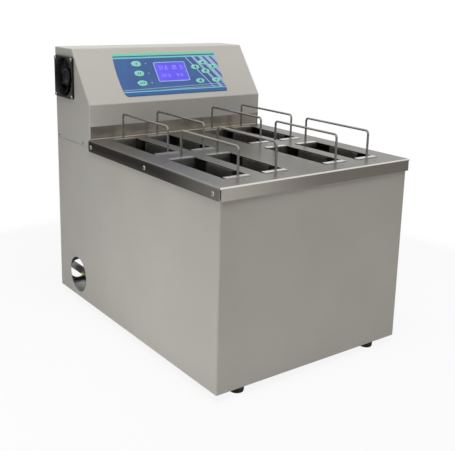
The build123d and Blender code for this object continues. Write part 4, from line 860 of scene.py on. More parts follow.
@dataclass
class Shape:
    """The points and faces of one piece while it is made."""

    points: list[Vector] = field(default_factory=list)
    faces: list[tuple[int, ...]] = field(default_factory=list)
    inks: list[int] = field(default_factory=list)

    def face(self, corners: Iterable[int], ink: int = 0) -> None:
        """Adds one face."""
        self.faces.append(tuple(corners))
        self.inks.append(ink)

    def strip(
        self, rings: Sequence[Sequence[Vector]], ink: int = 0, ends: bool = True, joined: bool = False
    ) -> None:
        """Skins a row of closed rings.

        Args:
            rings: Rings with equal counts of points.
            ink: Which finish of the piece it takes.
            ends: Whether the first and last ring are filled.
            joined: Whether the last ring meets the first.
        """
        start, sides, count = len(self.points), len(rings[0]), len(rings)
        for ring in rings:
            self.points.extend(ring)
        for row in range(count if joined else count - 1):
            low, high = start + row * sides, start + (row + 1) % count * sides
            for index in range(sides):
                ahead = (index + 1) % sides
                self.face((low + index, low + ahead, high + ahead, high + index), ink)
        if ends and not joined:
            last = start + (count - 1) * sides
            self.face(reversed(range(start, start + sides)), ink)
            self.face(range(last, last + sides), ink)

    def loft(
        self, place: Place, levels: Levels, ink: int = 0, ends: bool = True, joined: bool = False
    ) -> None:
        """Skins outlines that stand at their heights over a place."""
        rings = [[place.at(x, y, height) for x, y in outline] for outline, height in levels]
        self.strip(rings, ink, ends, joined)

    def lathe(self, place: Place, profile: Iterable[Flat], sides: int = 32, ink: int = 0) -> None:
        """Turns a profile of radii and heights round the place's out direction."""
        self.loft(place, [(circle(radius, sides), height) for radius, height in profile], ink)

    def prism(
        self, place: Place, outline: Sequence[Flat], low: float, high: float, ease: float = 0.0,
        ink: int = 0,
    ) -> None:
        """Raises an outline, with its top edge eased.

        Args:
            place: Where it stands.
            outline: The outline about its middle.
            low: Height of its foot.
            high: Height of its top.
            ease: How far the top edge is eased.
            ink: Which finish it takes.
        """
        levels = [(0.0, low), (0.0, high - ease)]
        if ease:
            levels += [(ease * 0.3, high - ease * 0.3), (ease, high)]
        span = max(math.hypot(x, y) for x, y in outline)
        self.loft(place, [(scaled(outline, 1 - inset / span), height) for inset, height in levels], ink)

    def tube(self, route: Sequence[Vector], radius: float, sides: int = 14, ink: int = 0) -> None:
        """Sweeps a round wire along a route.

        Args:
            route: The points of its middle.
            radius: Its radius.
            sides: Facets round it.
            ink: Which finish it takes.
        """
        rings = []
        side = (route[1] - route[0]).normalized().orthogonal().normalized()
        for index, spot in enumerate(route):
            heading = route[min(index + 1, len(route) - 1)] - route[max(index - 1, 0)]
            heading.normalize()
            side = (side - heading * side.dot(heading)).normalized()
            other = heading.cross(side)
            rings.append([spot + side * x + other * y for x, y in circle(radius, sides)])
        self.strip(rings, ink)

    def mesh(self, name: str, *materials: bpy.types.Material) -> bpy.types.Mesh:
        """Makes the mesh.

        Args:
            name: The mesh's name.
            *materials: Its materials, by ink.

        Returns:
            The mesh.
        """
        made = bpy.data.meshes.new(name)
        made.from_pydata([tuple(point) for point in self.points], [], self.faces)
        for material in materials:
            made.materials.append(material)
        made.polygons.foreach_set("material_index", self.inks)
        return made

    def piece(
        self, name: str, finishes: Sequence[Finish], replaced: Sequence[str] = (),
        body: str = MACHINE, crease: float = 35.0,
    ) -> None:
        """Makes the piece and hangs it on its body.

        Args:
            name: The piece's name.
            finishes: Its finishes, by ink.
            replaced: Nodes that it stands for.
            body: The body that it rides on.
            crease: Angle in degrees from which an edge stays sharp.
        """
        mesh = self.mesh(name, *(finish.material() for finish in finishes))
        work = bmesh.new()
        work.from_mesh(mesh)
        bmesh.ops.recalc_face_normals(work, faces=work.faces)
        work.to_mesh(mesh)
        work.free()
        mesh.shade_smooth()
        mesh.set_sharp_from_angle(angle=math.radians(crease))
        made = linked(name, mesh)
        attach(made, body)
        if replaced:
            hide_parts(*replaced)
        log.info("piece %s: %d faces on %s", name, len(self.faces), body)


def linked(name: str, data: bpy.types.ID) -> bpy.types.Object:
    """Puts an object with its data in the scene.

    Args:
        name: The object's name.
        data: Its mesh, text, light or camera.

    Returns:
        The new object.
    """
    made = bpy.data.objects.new(name, data)
    bpy.context.scene.collection.objects.link(made)
    return made


def dress(finish: Finish, *nodes: str) -> None:
    """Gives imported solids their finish.

    Args:
        finish: The finish.
        *nodes: The solids' nodes.
    """
    for node in nodes:
        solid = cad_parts[node]
        for holder in solid.material_slots:
            holder.material = finish.material()
        if not solid.material_slots:
            solid.data.materials.append(finish.material())
        log.info("solid %s: %s", node, finish.name)


@dataclass
class ScrewHead:
    """A pan head with a cross recess."""

    radius: float = 0.004
    height: float = 0.0016
    arm: float = 0.0022
    slot_half: float = 0.00045
    depth: float = 0.0009
    foot: float = 0.8
    pit: float = 1.2
    crown: tuple[Flat, ...] = ((1.0, 0.0), (1.0, 0.3), (0.96, 0.55), (0.84, 0.82), (0.68, 1.0))

    def add(self, shape: Shape, place: Place) -> None:
        """Adds one head to a shape.

        Args:
            shape: The shape to add to.
            place: Its seat, with the head rising outward.
        """
        tip = math.degrees(math.atan2(self.slot_half, self.arm))
        quarter = [0.0, tip, (tip + 45) / 2, 45.0, (135 - tip) / 2, 90 - tip]
        turns = [math.radians(90 * turn + step) for turn in range(4) for step in quarter]
        rim = [(self.radius * math.cos(turn), self.radius * math.sin(turn)) for turn in turns]
        cross: list[Flat] = []
        for turn in turns:
            wide, tall = max(abs(math.cos(turn)), TINY), max(abs(math.sin(turn)), TINY)
            level = min(self.arm / wide, self.slot_half / tall)
            reach = max(level, min(self.slot_half / wide, self.arm / tall))
            cross.append((reach * math.cos(turn), reach * math.sin(turn)))
        levels = [(scaled(rim, share), self.height * rise) for share, rise in self.crown]
        shape.loft(place, [*levels, (cross, self.height)], ends=False)
        foot, floor = scaled(cross, self.foot), self.height - self.depth
        shape.loft(place, [(cross, self.height), (foot, floor)], 1, ends=False)
        start, count = len(shape.points), len(cross)
        shape.points.extend(place.at(x, y, floor) for x, y in foot)
        shape.points.append(place.at(0, 0, self.height - self.depth * self.pit))
        for index in range(count):
            shape.face((start + index, start + (index + 1) % count, start + count), 1)


@dataclass(frozen=True)
class Lamp:
    """A soft square lamp, unseen in bright metal: it hangs at its seat and looks at its aim."""

    name: str
    seat: Point
    aim: Point
    power: float
    side: float
    tone: Colour = WHITE

    def hang(self) -> None:
        """Hangs the lamp."""
        light = bpy.data.lights.new(self.name, "AREA")
        light.energy = self.power
        light.size = self.side
        light.color = self.tone
        made = linked(self.name, light)
        made.visible_glossy = False
        made.visible_camera = False
        made.location = self.seat
        toward = Vector(self.aim) - Vector(self.seat)
        made.rotation_euler = toward.to_track_quat("-Z", "Y").to_euler()


@dataclass
class Studio:
    """The camera, the pale floor and the soft light."""

    seat: Point = (-0.8241, -1.1547, 0.6148)
    yaw: float = 0.6368
    pitch: float = -0.2377
    roll: float = 0.0237
    focal_pixels: float = 761.2
    frame_width: float = 455.0
    sensor: float = 36.0
    shift: float = -0.1
    floor_reaches: tuple[float, ...] = (0.4, 1.0, 2.5, 14.0)
    floor_tone: Colour = (0.8, 0.8, 0.8)
    floor_fade: Flat = (0.34, 0.8)
    near_white: float = 0.9
    room_light: float = 0.07
    room_tone: Colour = (1.0, 0.955, 0.88)
    lamps: tuple[Lamp, ...] = (
        Lamp("overhead", (-0.3, -0.55, 2.55), (0.0, 0.0, 0.25), 57.0, 2.0),
        Lamp("left_fill", (-1.9, -0.5, 0.06), (0.0, 0.0, 0.25), 1.7, 1.0),
        Lamp("low_left", (-0.78, -0.16, 0.02), (0.0, -0.18, 0.0), 1.6, 0.35),
        Lamp("low_front", (-0.05, -0.88, 0.02), (-0.05, 0.0, 0.0), 0.2, 0.35, (1.0, 0.88, 0.7)),
    )

    def build(self) -> None:
        """Sets up the camera, floor, lamps and world."""
        self.camera()
        self.floor()
        for lamp in self.lamps:
            lamp.hang()
        self.room()

    def camera(self) -> None:
        """Stands the camera where the photograph was taken from."""
        lens = bpy.data.cameras.new("photo_camera")
        lens.sensor_width = self.sensor
        lens.lens = self.focal_pixels * self.sensor / self.frame_width
        lens.shift_y = self.shift
        lens.clip_start, lens.clip_end = 0.02, 100.0
        made = linked("photo_camera", lens)
        stance = Matrix.Translation(self.seat)
        for angle, axis in ((-self.yaw, "Z"), (math.pi / 2 + self.pitch, "X"), (self.roll, "Z")):
            stance @= Matrix.Rotation(angle, 4, axis)
        made.matrix_world = stance
        bpy.context.scene.camera = made

    def floor(self) -> None:
        """Lays the pale floor that fades into the white background."""
        shape = Shape()
        shape.loft(stand(0, 0, 0), [(circle(reach, 64), 0.0) for reach in self.floor_reaches], ends=False)
        shape.face(range(64))
        linked("floor", shape.mesh("floor", self.floor_material()))

    def floor_material(self) -> bpy.types.Material:
        """Makes the floor's finish: it keeps the shadow near the object and turns white far off.

        Returns:
            The material.
        """
        made = bpy.data.materials.new("pale_floor")
        graph = emptied(made)
        place = graph.node("ShaderNodeTexCoord").outputs["Object"]
        far = graph.span(graph.vector("LENGTH", "Value", place), *self.floor_fade)
        direct = graph.rays("Camera", "Transmission")
        white = graph.times(direct, graph.math("MAXIMUM", far, self.near_white))
        darker = tuple(0.97 * part for part in self.floor_tone)
        tone = graph.blend(graph.noise(place, 3.0, 2.0), self.floor_tone, darker)
        pale = graph.node("ShaderNodeBsdfPrincipled", {"Base Color": tone, "Roughness": 0.9})
        glow = graph.node("ShaderNodeEmission", {"Color": WHITE})
        graph.finish("Material", pale.outputs["BSDF"], white, glow.outputs["Emission"])
        return made

    def room(self) -> None:
        """Fills the room with soft light, and shows white behind the object."""
        world = bpy.data.worlds.new("studio")
        bpy.context.scene.world = world
        graph = emptied(world)
        shown = graph.rays("Camera", "Transmission", "Glossy")
        soft, white = (
            graph.node("ShaderNodeBackground", {"Color": tone, "Strength": level}).outputs["Background"]
            for tone, level in ((self.room_tone, self.room_light), (WHITE, 1.0))
        )
        graph.finish("World", soft, shown, white)
        bpy.context.scene.view_settings.view_transform = "Standard"


@dataclass
class Cabinet:
    """The painted cabinet, its feet and its screws."""

    foot_x: float = 0.147
    foot_ys: tuple[float, ...] = (-0.27675, 0.25225)
    foot_profile: tuple[Flat, ...] = (
        (0.0045, 0.003), (0.0095, 0.0028), (0.0102, 0.0004), (0.0107, 0.0), (0.0114, 0.0003),
        (0.0118, 0.0012), (0.0126, 0.0105), (0.0130, 0.0115), (0.0130, 0.0136), (0.0127, 0.014),
    )
    foot_screw: tuple[Flat, ...] = ((0.0034, 0.0), (0.0034, 0.0008), (0.0026, 0.0016))
    foot_screw_top: float = 0.0032
    lip_x: float = 0.2035
    lip_screw_ys: tuple[float, ...] = (-0.28075, -0.08275, 0.11425)
    lip_screw_z: float = 0.334
    hood_x: float = 0.200
    hood_screw_ys: tuple[float, ...] = (0.15225, 0.25725)
    hood_screw_z: float = 0.337
    rear_y: float = 0.27025
    rear_screw_x: float = 0.193
    rear_screw_zs: tuple[float, ...] = (0.044, 0.310, 0.352, 0.490)
    screw: ScrewHead = field(default_factory=ScrewHead)

    def build(self) -> None:
        """Dresses the painted sheets and makes the feet and screws."""
        dress(PAINT, "cabinet_shell", "rear_panel")
        dress(INNER, "base_pan")
        self.feet()
        self.screws()

    def feet(self) -> None:
        """Turns the four rubber feet, each with a screw in its hollow."""
        shape = Shape()
        for y in self.foot_ys:
            for x in (-self.foot_x, self.foot_x):
                shape.lathe(stand(x, y, 0), self.foot_profile, 40)
                shape.lathe(stand(x, y, self.foot_screw_top, RIGHT, AHEAD), self.foot_screw, 24, 1)
        shape.piece("rubber_feet", (RUBBER, CHROME), ("feet",))

    def screws(self) -> None:
        """Sets the pan heads along the lip, the hood and the rear panel."""
        shape = Shape()
        seats = [(self.lip_x, y, self.lip_screw_z) for y in self.lip_screw_ys]
        seats += [(self.hood_x, y, self.hood_screw_z) for y in self.hood_screw_ys]
        for side in (-1, 1):
            for x, y, z in seats:
                self.screw.add(shape, stand(side * x, y, z, (0, side, 0), UP))
            for z in self.rear_screw_zs:
                self.screw.add(shape, stand(side * self.rear_screw_x, self.rear_y, z, LEFT, UP))
        shape.piece("cross_head_screws", (CHROME, RECESS), ("panel_screws",))


@dataclass
class Deck:
    """The stainless deck with its slot numbers."""

    number_back: float = 0.1
    number_left: float = 0.003
    number_size: float = 0.0085
    ink: float = 0.00004

    def build(self) -> None:
        """Dresses the deck and prints the slot numbers."""
        dress(DECK, "deck_plate")
        for number, x, y in slots():
            self.number(number, x - self.number_left, y - self.number_back)

    def number(self, number: int, x: float, y: float) -> None:
        """Prints one slot number on the deck.

        Args:
            number: The number.
            x: Its middle across the deck.
            y: Its middle along the deck.
        """
        text = bpy.data.curves.new(f"slot_number_{number}", "FONT")
        text.body = str(number)
        text.size = self.number_size
        text.align_x = "CENTER"
        text.align_y = "CENTER"
        text.extrude = self.ink
        text.materials.append(NUMBER_INK.material())
        made = linked(f"slot_number_{number}", text)
        made.location = (x, y, DECK_TOP + self.ink)
        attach(made, MACHINE)
        log.info("piece slot_number_%d on %s", number, MACHINE)


@dataclass
class BasketSet:
    """The eight folded baskets and their wire handles."""

    foot: float = 0.3472
    crown: float = 0.3937
    reach: float = 0.0795
    wire: float = 0.00195
    bend: float = 0.0056
    weld: tuple[Flat, ...] = (
        (0.0033, 0.0), (0.0031, 0.0004), (0.0026, 0.0008), (0.0021, 0.0015), (0.001, 0.0016),
    )

    def build(self) -> None:
        """Dresses the baskets and bends a handle for each."""
        for number, x, y in slots():
            dress(BASKET, f"basket_{number}")
            self.handle(number, x, y)

    def handle(self, number: int, x: float, y: float) -> None:
        """Bends one wire handle, with a weld bead at each foot.

        Args:
            number: The basket's number.
            x: The basket's middle across the deck.
            y: Its middle along the deck.
        """
        shape = Shape()
        near, far = y - self.reach, y + self.reach
        corners = [(x, near, self.foot), (x, near, self.crown), (x, far, self.crown), (x, far, self.foot)]
        shape.tube(bent(corners, self.bend), self.wire, 16)
        for end in (near, far):
            shape.lathe(stand(x, end, self.foot), self.weld, 24, 1)
        replaced, body = (f"basket_handle_{number}",), f"basket_{number}_body"
        shape.piece(f"wire_handle_{number}", (WIRE, WELD), replaced, body)


@dataclass
class Hood:
    """The painted hood behind the deck, and the dark bead under its edge that paints the seam's shadow
    line.
    """

    half: float = 0.200
    front: float = 0.1285
    rear: float = 0.27025
    seam: float = 0.331
    bead: float = 0.0007
    sunk: float = 0.0004
    proud: float = 0.0002

    def build(self) -> None:
        """Dresses the hood's sheets and lays a thin dark bead along both sides as painted shade in the
        seam.
        """
        dress(PAINT, "control_housing", "housing_rear_cover")
        # A thin dark bead that paints the seam's shadow line.
        shape = Shape()
        outline = rounded_box(self.rear - self.front, self.bead, self.bead / 3, 36)
        for side in (-1, 1):
            middle = (side * self.half, (self.front + self.rear) / 2, self.seam)
            shape.prism(stand(*middle, (0, side, 0), UP), outline, -self.sunk, self.proud)
        shape.piece("seam_shade_bead", (SEAM_SHADE,))


@dataclass
class Keypad:
    """The film, keys, lenses and display on the hood's slope."""

    mode_size: Flat = (0.0212, 0.0128)
    mode_x: float = -0.0735
    mode_climbs: tuple[float, ...] = (0.084, 0.062, 0.040)
    arrow_size: Flat = (0.020, 0.011)
    arrows: tuple[tuple[str, float, float, float], ...] = (
        ("up_key", 0.084, 0.082, 0.0), ("down_key", 0.084, 0.061, 180.0),
        ("left_key", 0.062, 0.0715, 90.0), ("right_key", 0.106, 0.0715, -90.0),
        ("back_key", 0.0625, 0.039, 90.0),
    )
    enter: Flat = (0.1025, 0.039)
    key_top: float = 0.0017
    key_rim: tuple[Flat, ...] = ((1.0, 0.0012), (1.0, 0.0005), (0.985, 0.00025), (0.93, 0.0001))
    key_cap: tuple[Flat, ...] = ((0.93, 0.0001), (0.86, 0.00008), (0.6, 0.00002), (0.1, 0.0))
    mark: float = 0.0034
    bar_pitch: float = 0.0042
    bar_half: Flat = (0.0009, 0.0022)
    tick: tuple[Flat, ...] = (
        (-0.0034, 0.0002), (-0.0024, 0.0011), (-0.0009, -0.0005),
        (0.0026, 0.0027), (0.0035, 0.0018), (-0.0009, -0.0025),
    )
    lens_x: float = -0.052
    lens_profile: tuple[Flat, ...] = (
        (0.0016, 0.0002), (0.0016, 0.0009), (0.0013, 0.0012), (0.0007, 0.00137), (0.0001, 0.0014),
    )
    window_middle: Flat = (0.002, 0.0635)
    window_size: Flat = (0.0705, 0.041)
    frame_width: float = 0.0042
    film_top: float = 0.0012
    digit_share: float = 0.62
    bar_share: float = 0.2
    bar_gap: float = 0.3
    readings: tuple[tuple[float, float, float, float, str], ...] = (
        (-0.026, 0.0095, 0.0052, 0.0085, "37 0"), (0.006, 0.0095, 0.0052, 0.0085, "20 15"),
        (-0.027, -0.0085, 0.0034, 0.0058, "1234 56"), (0.009, -0.0085, 0.0034, 0.0058, "78 36"),
    )

    def seat(self, across: float, rise: float) -> Place:
        """Gives a place on the slope, by its distance from the middle and its climb."""
        return stand(*SLOPE_FOOT, RIGHT, SLOPE_CLIMB).moved(across, rise)

    def build(self) -> None:
        """Dresses the film and makes the keys, lenses and display."""
        dress(FILM, "keypad_overlay")
        dress(BOARD, "display_module")
        for count, climb in enumerate(self.mode_climbs, 1):
            middles = [(index - (count - 1) / 2) * self.bar_pitch for index in range(count)]
            bars = [box(*self.bar_half, middle) for middle in middles]
            self.key(f"mode_key_{count}", self.mode_x, climb, self.mode_size, bars)
        for name, across, rise, turn in self.arrows:
            self.key(name, across, rise, self.arrow_size, [self.arrow(math.radians(turn))])
        self.key("enter_key", *self.enter, self.arrow_size, [self.tick])
        shape = Shape()
        for rise in self.mode_climbs:
            shape.lathe(self.seat(self.lens_x, rise), self.lens_profile, 24)
        shape.piece("status_lens_domes", (LENS,), ("status_lenses",))
        self.display()

    def arrow(self, turn: float) -> list[Flat]:
        """Draws an arrow head, turned from pointing up."""
        corners = scaled(((-1.15, -0.8), (1.15, -0.8), (0.0, 1.0)), self.mark)
        return [(Matrix.Rotation(turn, 2) @ Vector(corner)).to_tuple() for corner in corners]

    def key(
        self, name: str, across: float, rise: float, size: Flat, marks: Iterable[Sequence[Flat]]
    ) -> None:
        """Makes one domed key with its mark.

        Args:
            name: The key's node.
            across: Its middle across the slope.
            rise: Its middle up the slope.
            size: Length and width.
            marks: Outlines of the mark.
        """
        shape = Shape()
        place = self.seat(across, rise)
        edge = oval(*size, 48)
        top = self.key_top
        for ink, levels in ((1, self.key_rim), (0, self.key_cap)):
            rings = [(scaled(edge, share), top - down) for share, down in levels]
            shape.loft(place, rings, ink, ends=False)
        shape.face(range(48), 1)
        shape.face(range(len(shape.points) - 48, len(shape.points)))
        for mark in marks:
            shape.prism(place, mark, top - 0.0003, top + 0.00006, 0.0, 2)
        finishes = (KEY_MINT, KEY_RIM_HIGHLIGHT, KEY_MARK)
        shape.piece(f"{name}_cap", finishes, (name,), f"{name}_body", 50.0)

    def display(self) -> None:
        """Makes the lit pane, its printed frame and its digits."""
        place = self.seat(*self.window_middle)
        width, height = self.window_size
        shape = Shape()
        pane = rounded_box(width, height, 0.0012, 72)
        shape.prism(place, pane, 0.0001, self.film_top, 0.0003)
        self.digits(shape, place)
        shape.piece("lit_display", (PANE, DIGIT), ("display_window",))
        shape = Shape()
        outer = rounded_box(width + self.frame_width, height + self.frame_width, 0.002, 72)
        inner = rounded_box(width + 0.0006, height + 0.0006, 0.0012, 72)
        levels = (
            (outer, -0.0002), (outer, 0.0001), (scaled(outer, 0.992), 0.00018),
            (scaled(inner, 1.006), 0.00018), (inner, 0.0001), (inner, -0.0002),
        )
        shape.loft(place, [(loop, self.film_top + out) for loop, out in levels], joined=True)
        shape.piece("display_frame_print", (PANE_FRAME,))

    def digits(self, shape: Shape, place: Place) -> None:
        """Draws two rows of seven-bar digits on the pane.

        Args:
            shape: The pane's shape.
            place: The pane's middle.
        """
        for left, middle, pitch, tall, text in self.readings:
            for index, letter in enumerate(text):
                digit = place.moved(left + index * pitch, middle)
                for bar in BARS_LIT[letter]:
                    self.bar(shape, digit, pitch * self.digit_share, tall, bar)

    def bar(self, shape: Shape, digit: Place, wide: float, tall: float, bar: str) -> None:
        """Draws one bar of a digit.

        Args:
            shape: The pane's shape.
            digit: The digit's middle.
            wide: The digit's width.
            tall: The digit's height.
            bar: Which bar, a to g.
        """
        thick = wide * self.bar_share
        gap = thick * self.bar_gap
        x, y = BAR_SPOTS[bar]
        halves = (thick / 2, tall / 4 - gap) if x else (wide / 2 - gap, thick / 2)
        seat = digit.moved(x * wide, y * tall, self.film_top)
        shape.prism(seat, box(*halves), -0.0001, 0.00005, 0.0, 1)


@dataclass
class Fan:
    """The square fan on the hood's left side."""

    middle: Point = (-0.200, 0.22775, 0.454)
    side: float = 0.080
    corner: float = 0.004
    flange: float = 0.004
    bore: float = 0.0375
    duct: float = 0.0391
    depth: float = 0.021
    hub: float = 0.017
    strut_middle: float = 0.0272
    strut: tuple[Flat, ...] = (
        (-0.0112, -0.0025), (0.0106, -0.0018), (0.0106, 0.0018), (-0.0112, 0.0025),
    )
    hub_profile: tuple[Flat, ...] = (
        (0.0155, -0.0165), (0.017, -0.0160), (0.017, -0.0031), (0.0166, -0.0021),
        (0.0158, -0.0016), (0.0100, -0.0015), (0.0096, -0.0018), (0.0030, -0.0018), (0.0010, -0.0016),
    )
    screw_reach: float = 0.03575
    blades: int = 7
    stations: int = 9
    blade_reach: Flat = (0.0155, 0.0363)
    blade_pitch: Flat = (42.0, 28.0)
    blade_chord: Flat = (0.017, 0.024)
    blade_sweep: float = -16.0
    sweep_power: float = 1.4
    blade_taper: float = 0.35
    blade_depth: float = 0.0091
    blade_half: float = 0.00085
    blade_arch: float = 0.0026
    screw: ScrewHead = field(default_factory=lambda: ScrewHead(0.0036, 0.001, 0.002, 0.0004, 0.0007))

    def place(self) -> Place:
        """Gives the fan's place, looking out of the hood's side."""
        return stand(*self.middle, AHEAD, UP)

    def build(self) -> None:
        """Makes the fan's frame, rotor and screws."""
        self.frame()
        self.rotor()
        shape = Shape()
        for across in (-self.screw_reach, self.screw_reach):
            for rise in (-self.screw_reach, self.screw_reach):
                self.screw.add(shape, self.place().moved(across, rise, self.flange))
        shape.piece("fan_corner_screws", (CHROME, RECESS), ("fan_screws",))

    def frame(self) -> None:
        """Moulds the square flange, round duct, struts and motor seat."""
        shape = Shape()
        centre = self.place()
        outer = rounded_box(self.side, self.side, self.corner, 96)
        bores = (
            (self.bore + 0.0018, self.flange), (self.bore + 0.0006, self.flange - 0.0004),
            (self.bore, self.flange - 0.0016), (self.bore, -self.depth),
            (self.duct, -self.depth), (self.duct, 0.0),
        )
        levels = [(outer, 0.0), (outer, self.flange - 0.0005), (scaled(outer, 0.99), self.flange)]
        levels += [(circle(radius, 96), out) for radius, out in bores]
        shape.loft(centre, levels, joined=True)
        seat = centre.moved(0, 0, -self.depth)
        shape.lathe(seat, ((self.hub, 0.0), (self.hub, 0.0026), (self.hub - 0.0006, 0.003)), 48)
        for turn in (45.0, 135.0, 225.0, 315.0):
            along, across = centre.turned(math.radians(turn))
            arm = Place(seat.origin + along * self.strut_middle, along, across)
            shape.prism(arm, self.strut, 0.0, 0.003, 0.0004)
        shape.piece("fan_moulding", (FAN_BLACK,), ("fan_frame",))

    def rotor(self) -> None:
        """Moulds the hub with its swept, twisted blades."""
        shape = Shape()
        shape.lathe(self.place(), self.hub_profile, 64)
        for blade in range(self.blades):
            root = 2 * math.pi * blade / self.blades
            shape.strip([self.section(root, step / (self.stations - 1)) for step in range(self.stations)])
        finishes, replaced = (BLADE_BLACK,), ("fan_rotor",)
        shape.piece("fan_impeller", finishes, replaced, "fan_rotor_body", 45.0)

    def section(self, root: float, share: float) -> list[Vector]:
        """Draws a blade's section at one station.

        Args:
            root: The blade's turn at its root, in radians.
            share: How far out the station lies, from 0 at the root to 1 at the tip.

        Returns:
            The section's points.
        """
        centre = self.place()
        reach, degrees, chord = (
            ends[0] + (ends[1] - ends[0]) * share
            for ends in (self.blade_reach, self.blade_pitch, self.blade_chord)
        )
        pitch = math.radians(degrees)
        outward, around = centre.turned(root + math.radians(self.blade_sweep) * share**self.sweep_power)
        away = centre.right.cross(centre.up)
        along = around * math.cos(pitch) + away * math.sin(pitch)
        through = away * math.cos(pitch) - around * math.sin(pitch)
        spot = centre.origin + outward * reach - away * self.blade_depth
        points = []
        for run, rise in circle(1.0, 24):
            thick = self.blade_half * rise * (1 - self.blade_taper * run)
            arch = self.blade_arch * (1 - run * run) - self.blade_arch / 2
            points.append(spot + along * (run * chord / 2) + through * (arch + thick))
        return points


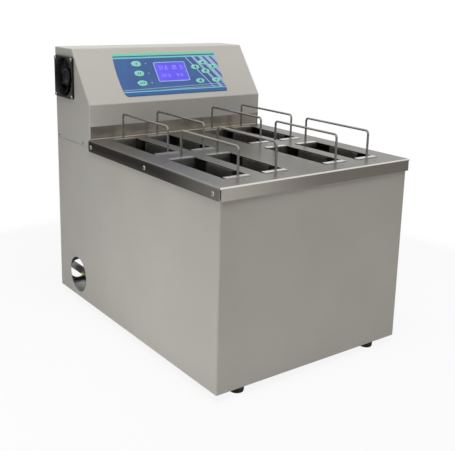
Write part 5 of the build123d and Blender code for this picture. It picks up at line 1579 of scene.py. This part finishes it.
@dataclass
class DrainLine:
    """The drain elbow, valve, lever and pipe behind the hand hole."""

    x: float = -0.162
    z: float = 0.041
    front: float = 0.16525
    rear: float = 0.21325
    outlet: float = 0.29825
    radius: float = 0.0075
    wall: float = 0.002
    barrel: float = 0.0124
    hexagon: float = 0.0105
    corner_ease: float = 0.0003
    end_length: float = 0.011
    bonnet: float = 0.0065
    bonnet_height: float = 0.0036
    seat_rise: float = 0.017
    neck: tuple[Flat, ...] = ((0.0075, 0.0), (0.0068, 0.0012), (0.006, 0.002), (0.006, 0.0056))
    neck_sunk: float = 0.0012
    lever_z: float = 0.0583
    lever_reach: float = 0.031
    lever_width: float = 0.009
    lever_sheet: float = 0.003
    lever_hub: float = 0.007
    arm_size: Flat = (0.0205, 0.0064)
    grip_gap: float = 0.0085
    arm_share: float = 0.36
    lever_inset: float = 0.0006
    nut: float = 0.0046
    nut_height: float = 0.0028
    stud: tuple[Flat, ...] = ((0.0022, 0.0027), (0.0022, 0.0038), (0.0017, 0.0042))
    stem: tuple[Flat, ...] = ((0.003, 0.0), (0.003, 0.0062))
    stem_sunk: float = 0.0055

    def build(self) -> None:
        """Dresses the elbow and makes the valve, lever and pipe."""
        dress(BRASS, "drain_elbow")
        self.valve()
        self.lever()
        self.pipe()

    def over(self, z: float) -> Place:
        """Gives a place over the valve's middle, looking up."""
        return stand(self.x, (self.front + self.rear) / 2, z)

    def valve(self) -> None:
        """Turns the valve's barrel between two eased hexagon ends, with its packing nut."""
        shape = Shape()
        length, bore, end = self.rear - self.front, self.radius - self.wall, self.end_length
        rings = (
            (0.0094, end + 0.0004), (0.0112, end + 0.0022), (self.barrel, end + 0.0042),
            (self.barrel, length / 2),
        )
        ahead = [(circle(radius, 48), 0.0) for radius in (bore, bore + 0.0012)]
        ahead += [
            (self.hexed(share), depth)
            for share, depth in ((0.93, 0.0), (1.0, 0.0008), (1.0, end - 0.0012), (0.92, end - 0.0004))
        ]
        ahead += [(circle(radius, 48), depth) for radius, depth in rings]
        back = [(loop, length - depth) for loop, depth in reversed(ahead[:-1])]
        shape.loft(stand(self.x, self.front, self.z, LEFT, UP), ahead + back, joined=True)
        shape.lathe(self.over(self.z + self.barrel - self.neck_sunk), self.neck, 40)
        nut = self.over(self.z + self.seat_rise - self.bonnet_height)
        shape.prism(nut, circle(self.bonnet, 6), 0.0, self.bonnet_height, 0.0005)
        shape.piece("brass_valve", (BRASS,), ("drain_valve_body",))

    def hexed(self, share: float) -> list[Flat]:
        """Gives a hexagon's outline as 48 points, with its corners eased.

        Args:
            share: Its size as a share of the full one.

        Returns:
            The points in order.
        """
        points: list[Flat] = []
        flat = self.hexagon * math.cos(math.pi / 6)
        for index, (x, y) in enumerate(circle(share, 48)):
            step = index % 8
            reach = flat / math.cos(math.pi * (step - 4) / 24) - self.corner_ease * (step == 0)
            points.append((reach * x, reach * y))
        return points

    def lever(self) -> None:
        """Cuts the lever's arm, dips its grip and sets the nut that holds it."""
        shape = Shape()
        high = self.lever_sheet
        base = self.over(self.lever_z)
        inset = self.lever_inset
        shape.prism(base, circle(self.lever_hub, 40), 0.0, high - inset, 0.0004, 1)
        arm = base.moved(-self.arm_share * self.lever_reach, 0.0)
        shape.prism(arm, rounded_box(*self.arm_size, 0.001, 48), inset, high - 0.0008, 0.0003, 1)
        length = self.lever_reach - self.grip_gap
        sleeve = rounded_box(length, self.lever_width, 0.0028, 72)
        half = ((0.9, 0.0), (0.965, 0.0002), (1.0, 0.0009))
        levels = [*half, *((share, high - height) for share, height in reversed(half))]
        grip = base.moved(-self.lever_reach + length / 2, 0.0)
        shape.loft(grip, [(scaled(sleeve, share), height) for share, height in levels])
        nut = self.over(self.lever_z + high - inset)
        shape.prism(nut, circle(self.nut, 6), 0.0, self.nut_height, 0.0005, 2)
        shape.lathe(nut, self.stud, 24, 2)
        shape.lathe(self.over(self.z + self.seat_rise - self.stem_sunk), self.stem, 32, 2)
        finishes, replaced = (LEVER, PROBE, CHROME), ("drain_lever",)
        shape.piece("dipped_lever", finishes, replaced, "drain_lever_body")

    def pipe(self) -> None:
        """Draws the drain pipe, with eased rims."""
        shape = Shape()
        length, outer, inner = self.outlet - self.rear, self.radius, self.radius - self.wall
        profile = (
            (inner, 0.0), (outer, 0.0), (outer, length - 0.0012), (outer - 0.0004, length - 0.0003),
            (outer - 0.0009, length), (inner + 0.0005, length), (inner, length - 0.0006),
        )
        start = stand(self.x, self.rear, self.z, LEFT, UP)
        shape.loft(start, [(circle(radius, 48), depth) for radius, depth in profile], joined=True)
        shape.piece("pale_drain_pipe", (PIPE,), ("drain_pipe",))


@dataclass
class WaterSystem:
    """The tank with its rails, heater, probe, pump and hoses."""

    def build(self) -> None:
        """Dresses the water side."""
        dress(TANK, "water_tank")
        dress(INNER, "tank_rails")
        dress(HEATER, "heater_element")
        dress(PROBE, "temperature_probe")
        dress(PUMP, "pump_housing", "pump_impeller")
        dress(MOTOR, "pump_motor")
        dress(HOSE, "suction_hose", "return_hose")


@dataclass
class Electronics:
    """The tray, boards, relay, mains inlet and rocker."""

    def build(self) -> None:
        """Dresses the electrical side."""
        dress(INNER, "electronics_tray", "power_supply")
        dress(BOARD, "main_board")
        dress(CASED, "heater_relay")
        dress(INLET, "mains_inlet")
        dress(ROCKER, "power_rocker")


def main() -> None:
    """Builds the studio and dresses every sub-assembly in order."""
    logging.basicConfig(level=logging.INFO, format="%(name)s: %(message)s")
    for part in (
        Studio(), Cabinet(), Deck(), BasketSet(), Hood(), Keypad(), Fan(), DrainLine(),
        WaterSystem(), Electronics(),
    ):
        log.info("building %s", type(part).__name__)
        part.build()


if __name__ == "__main__":
    main()
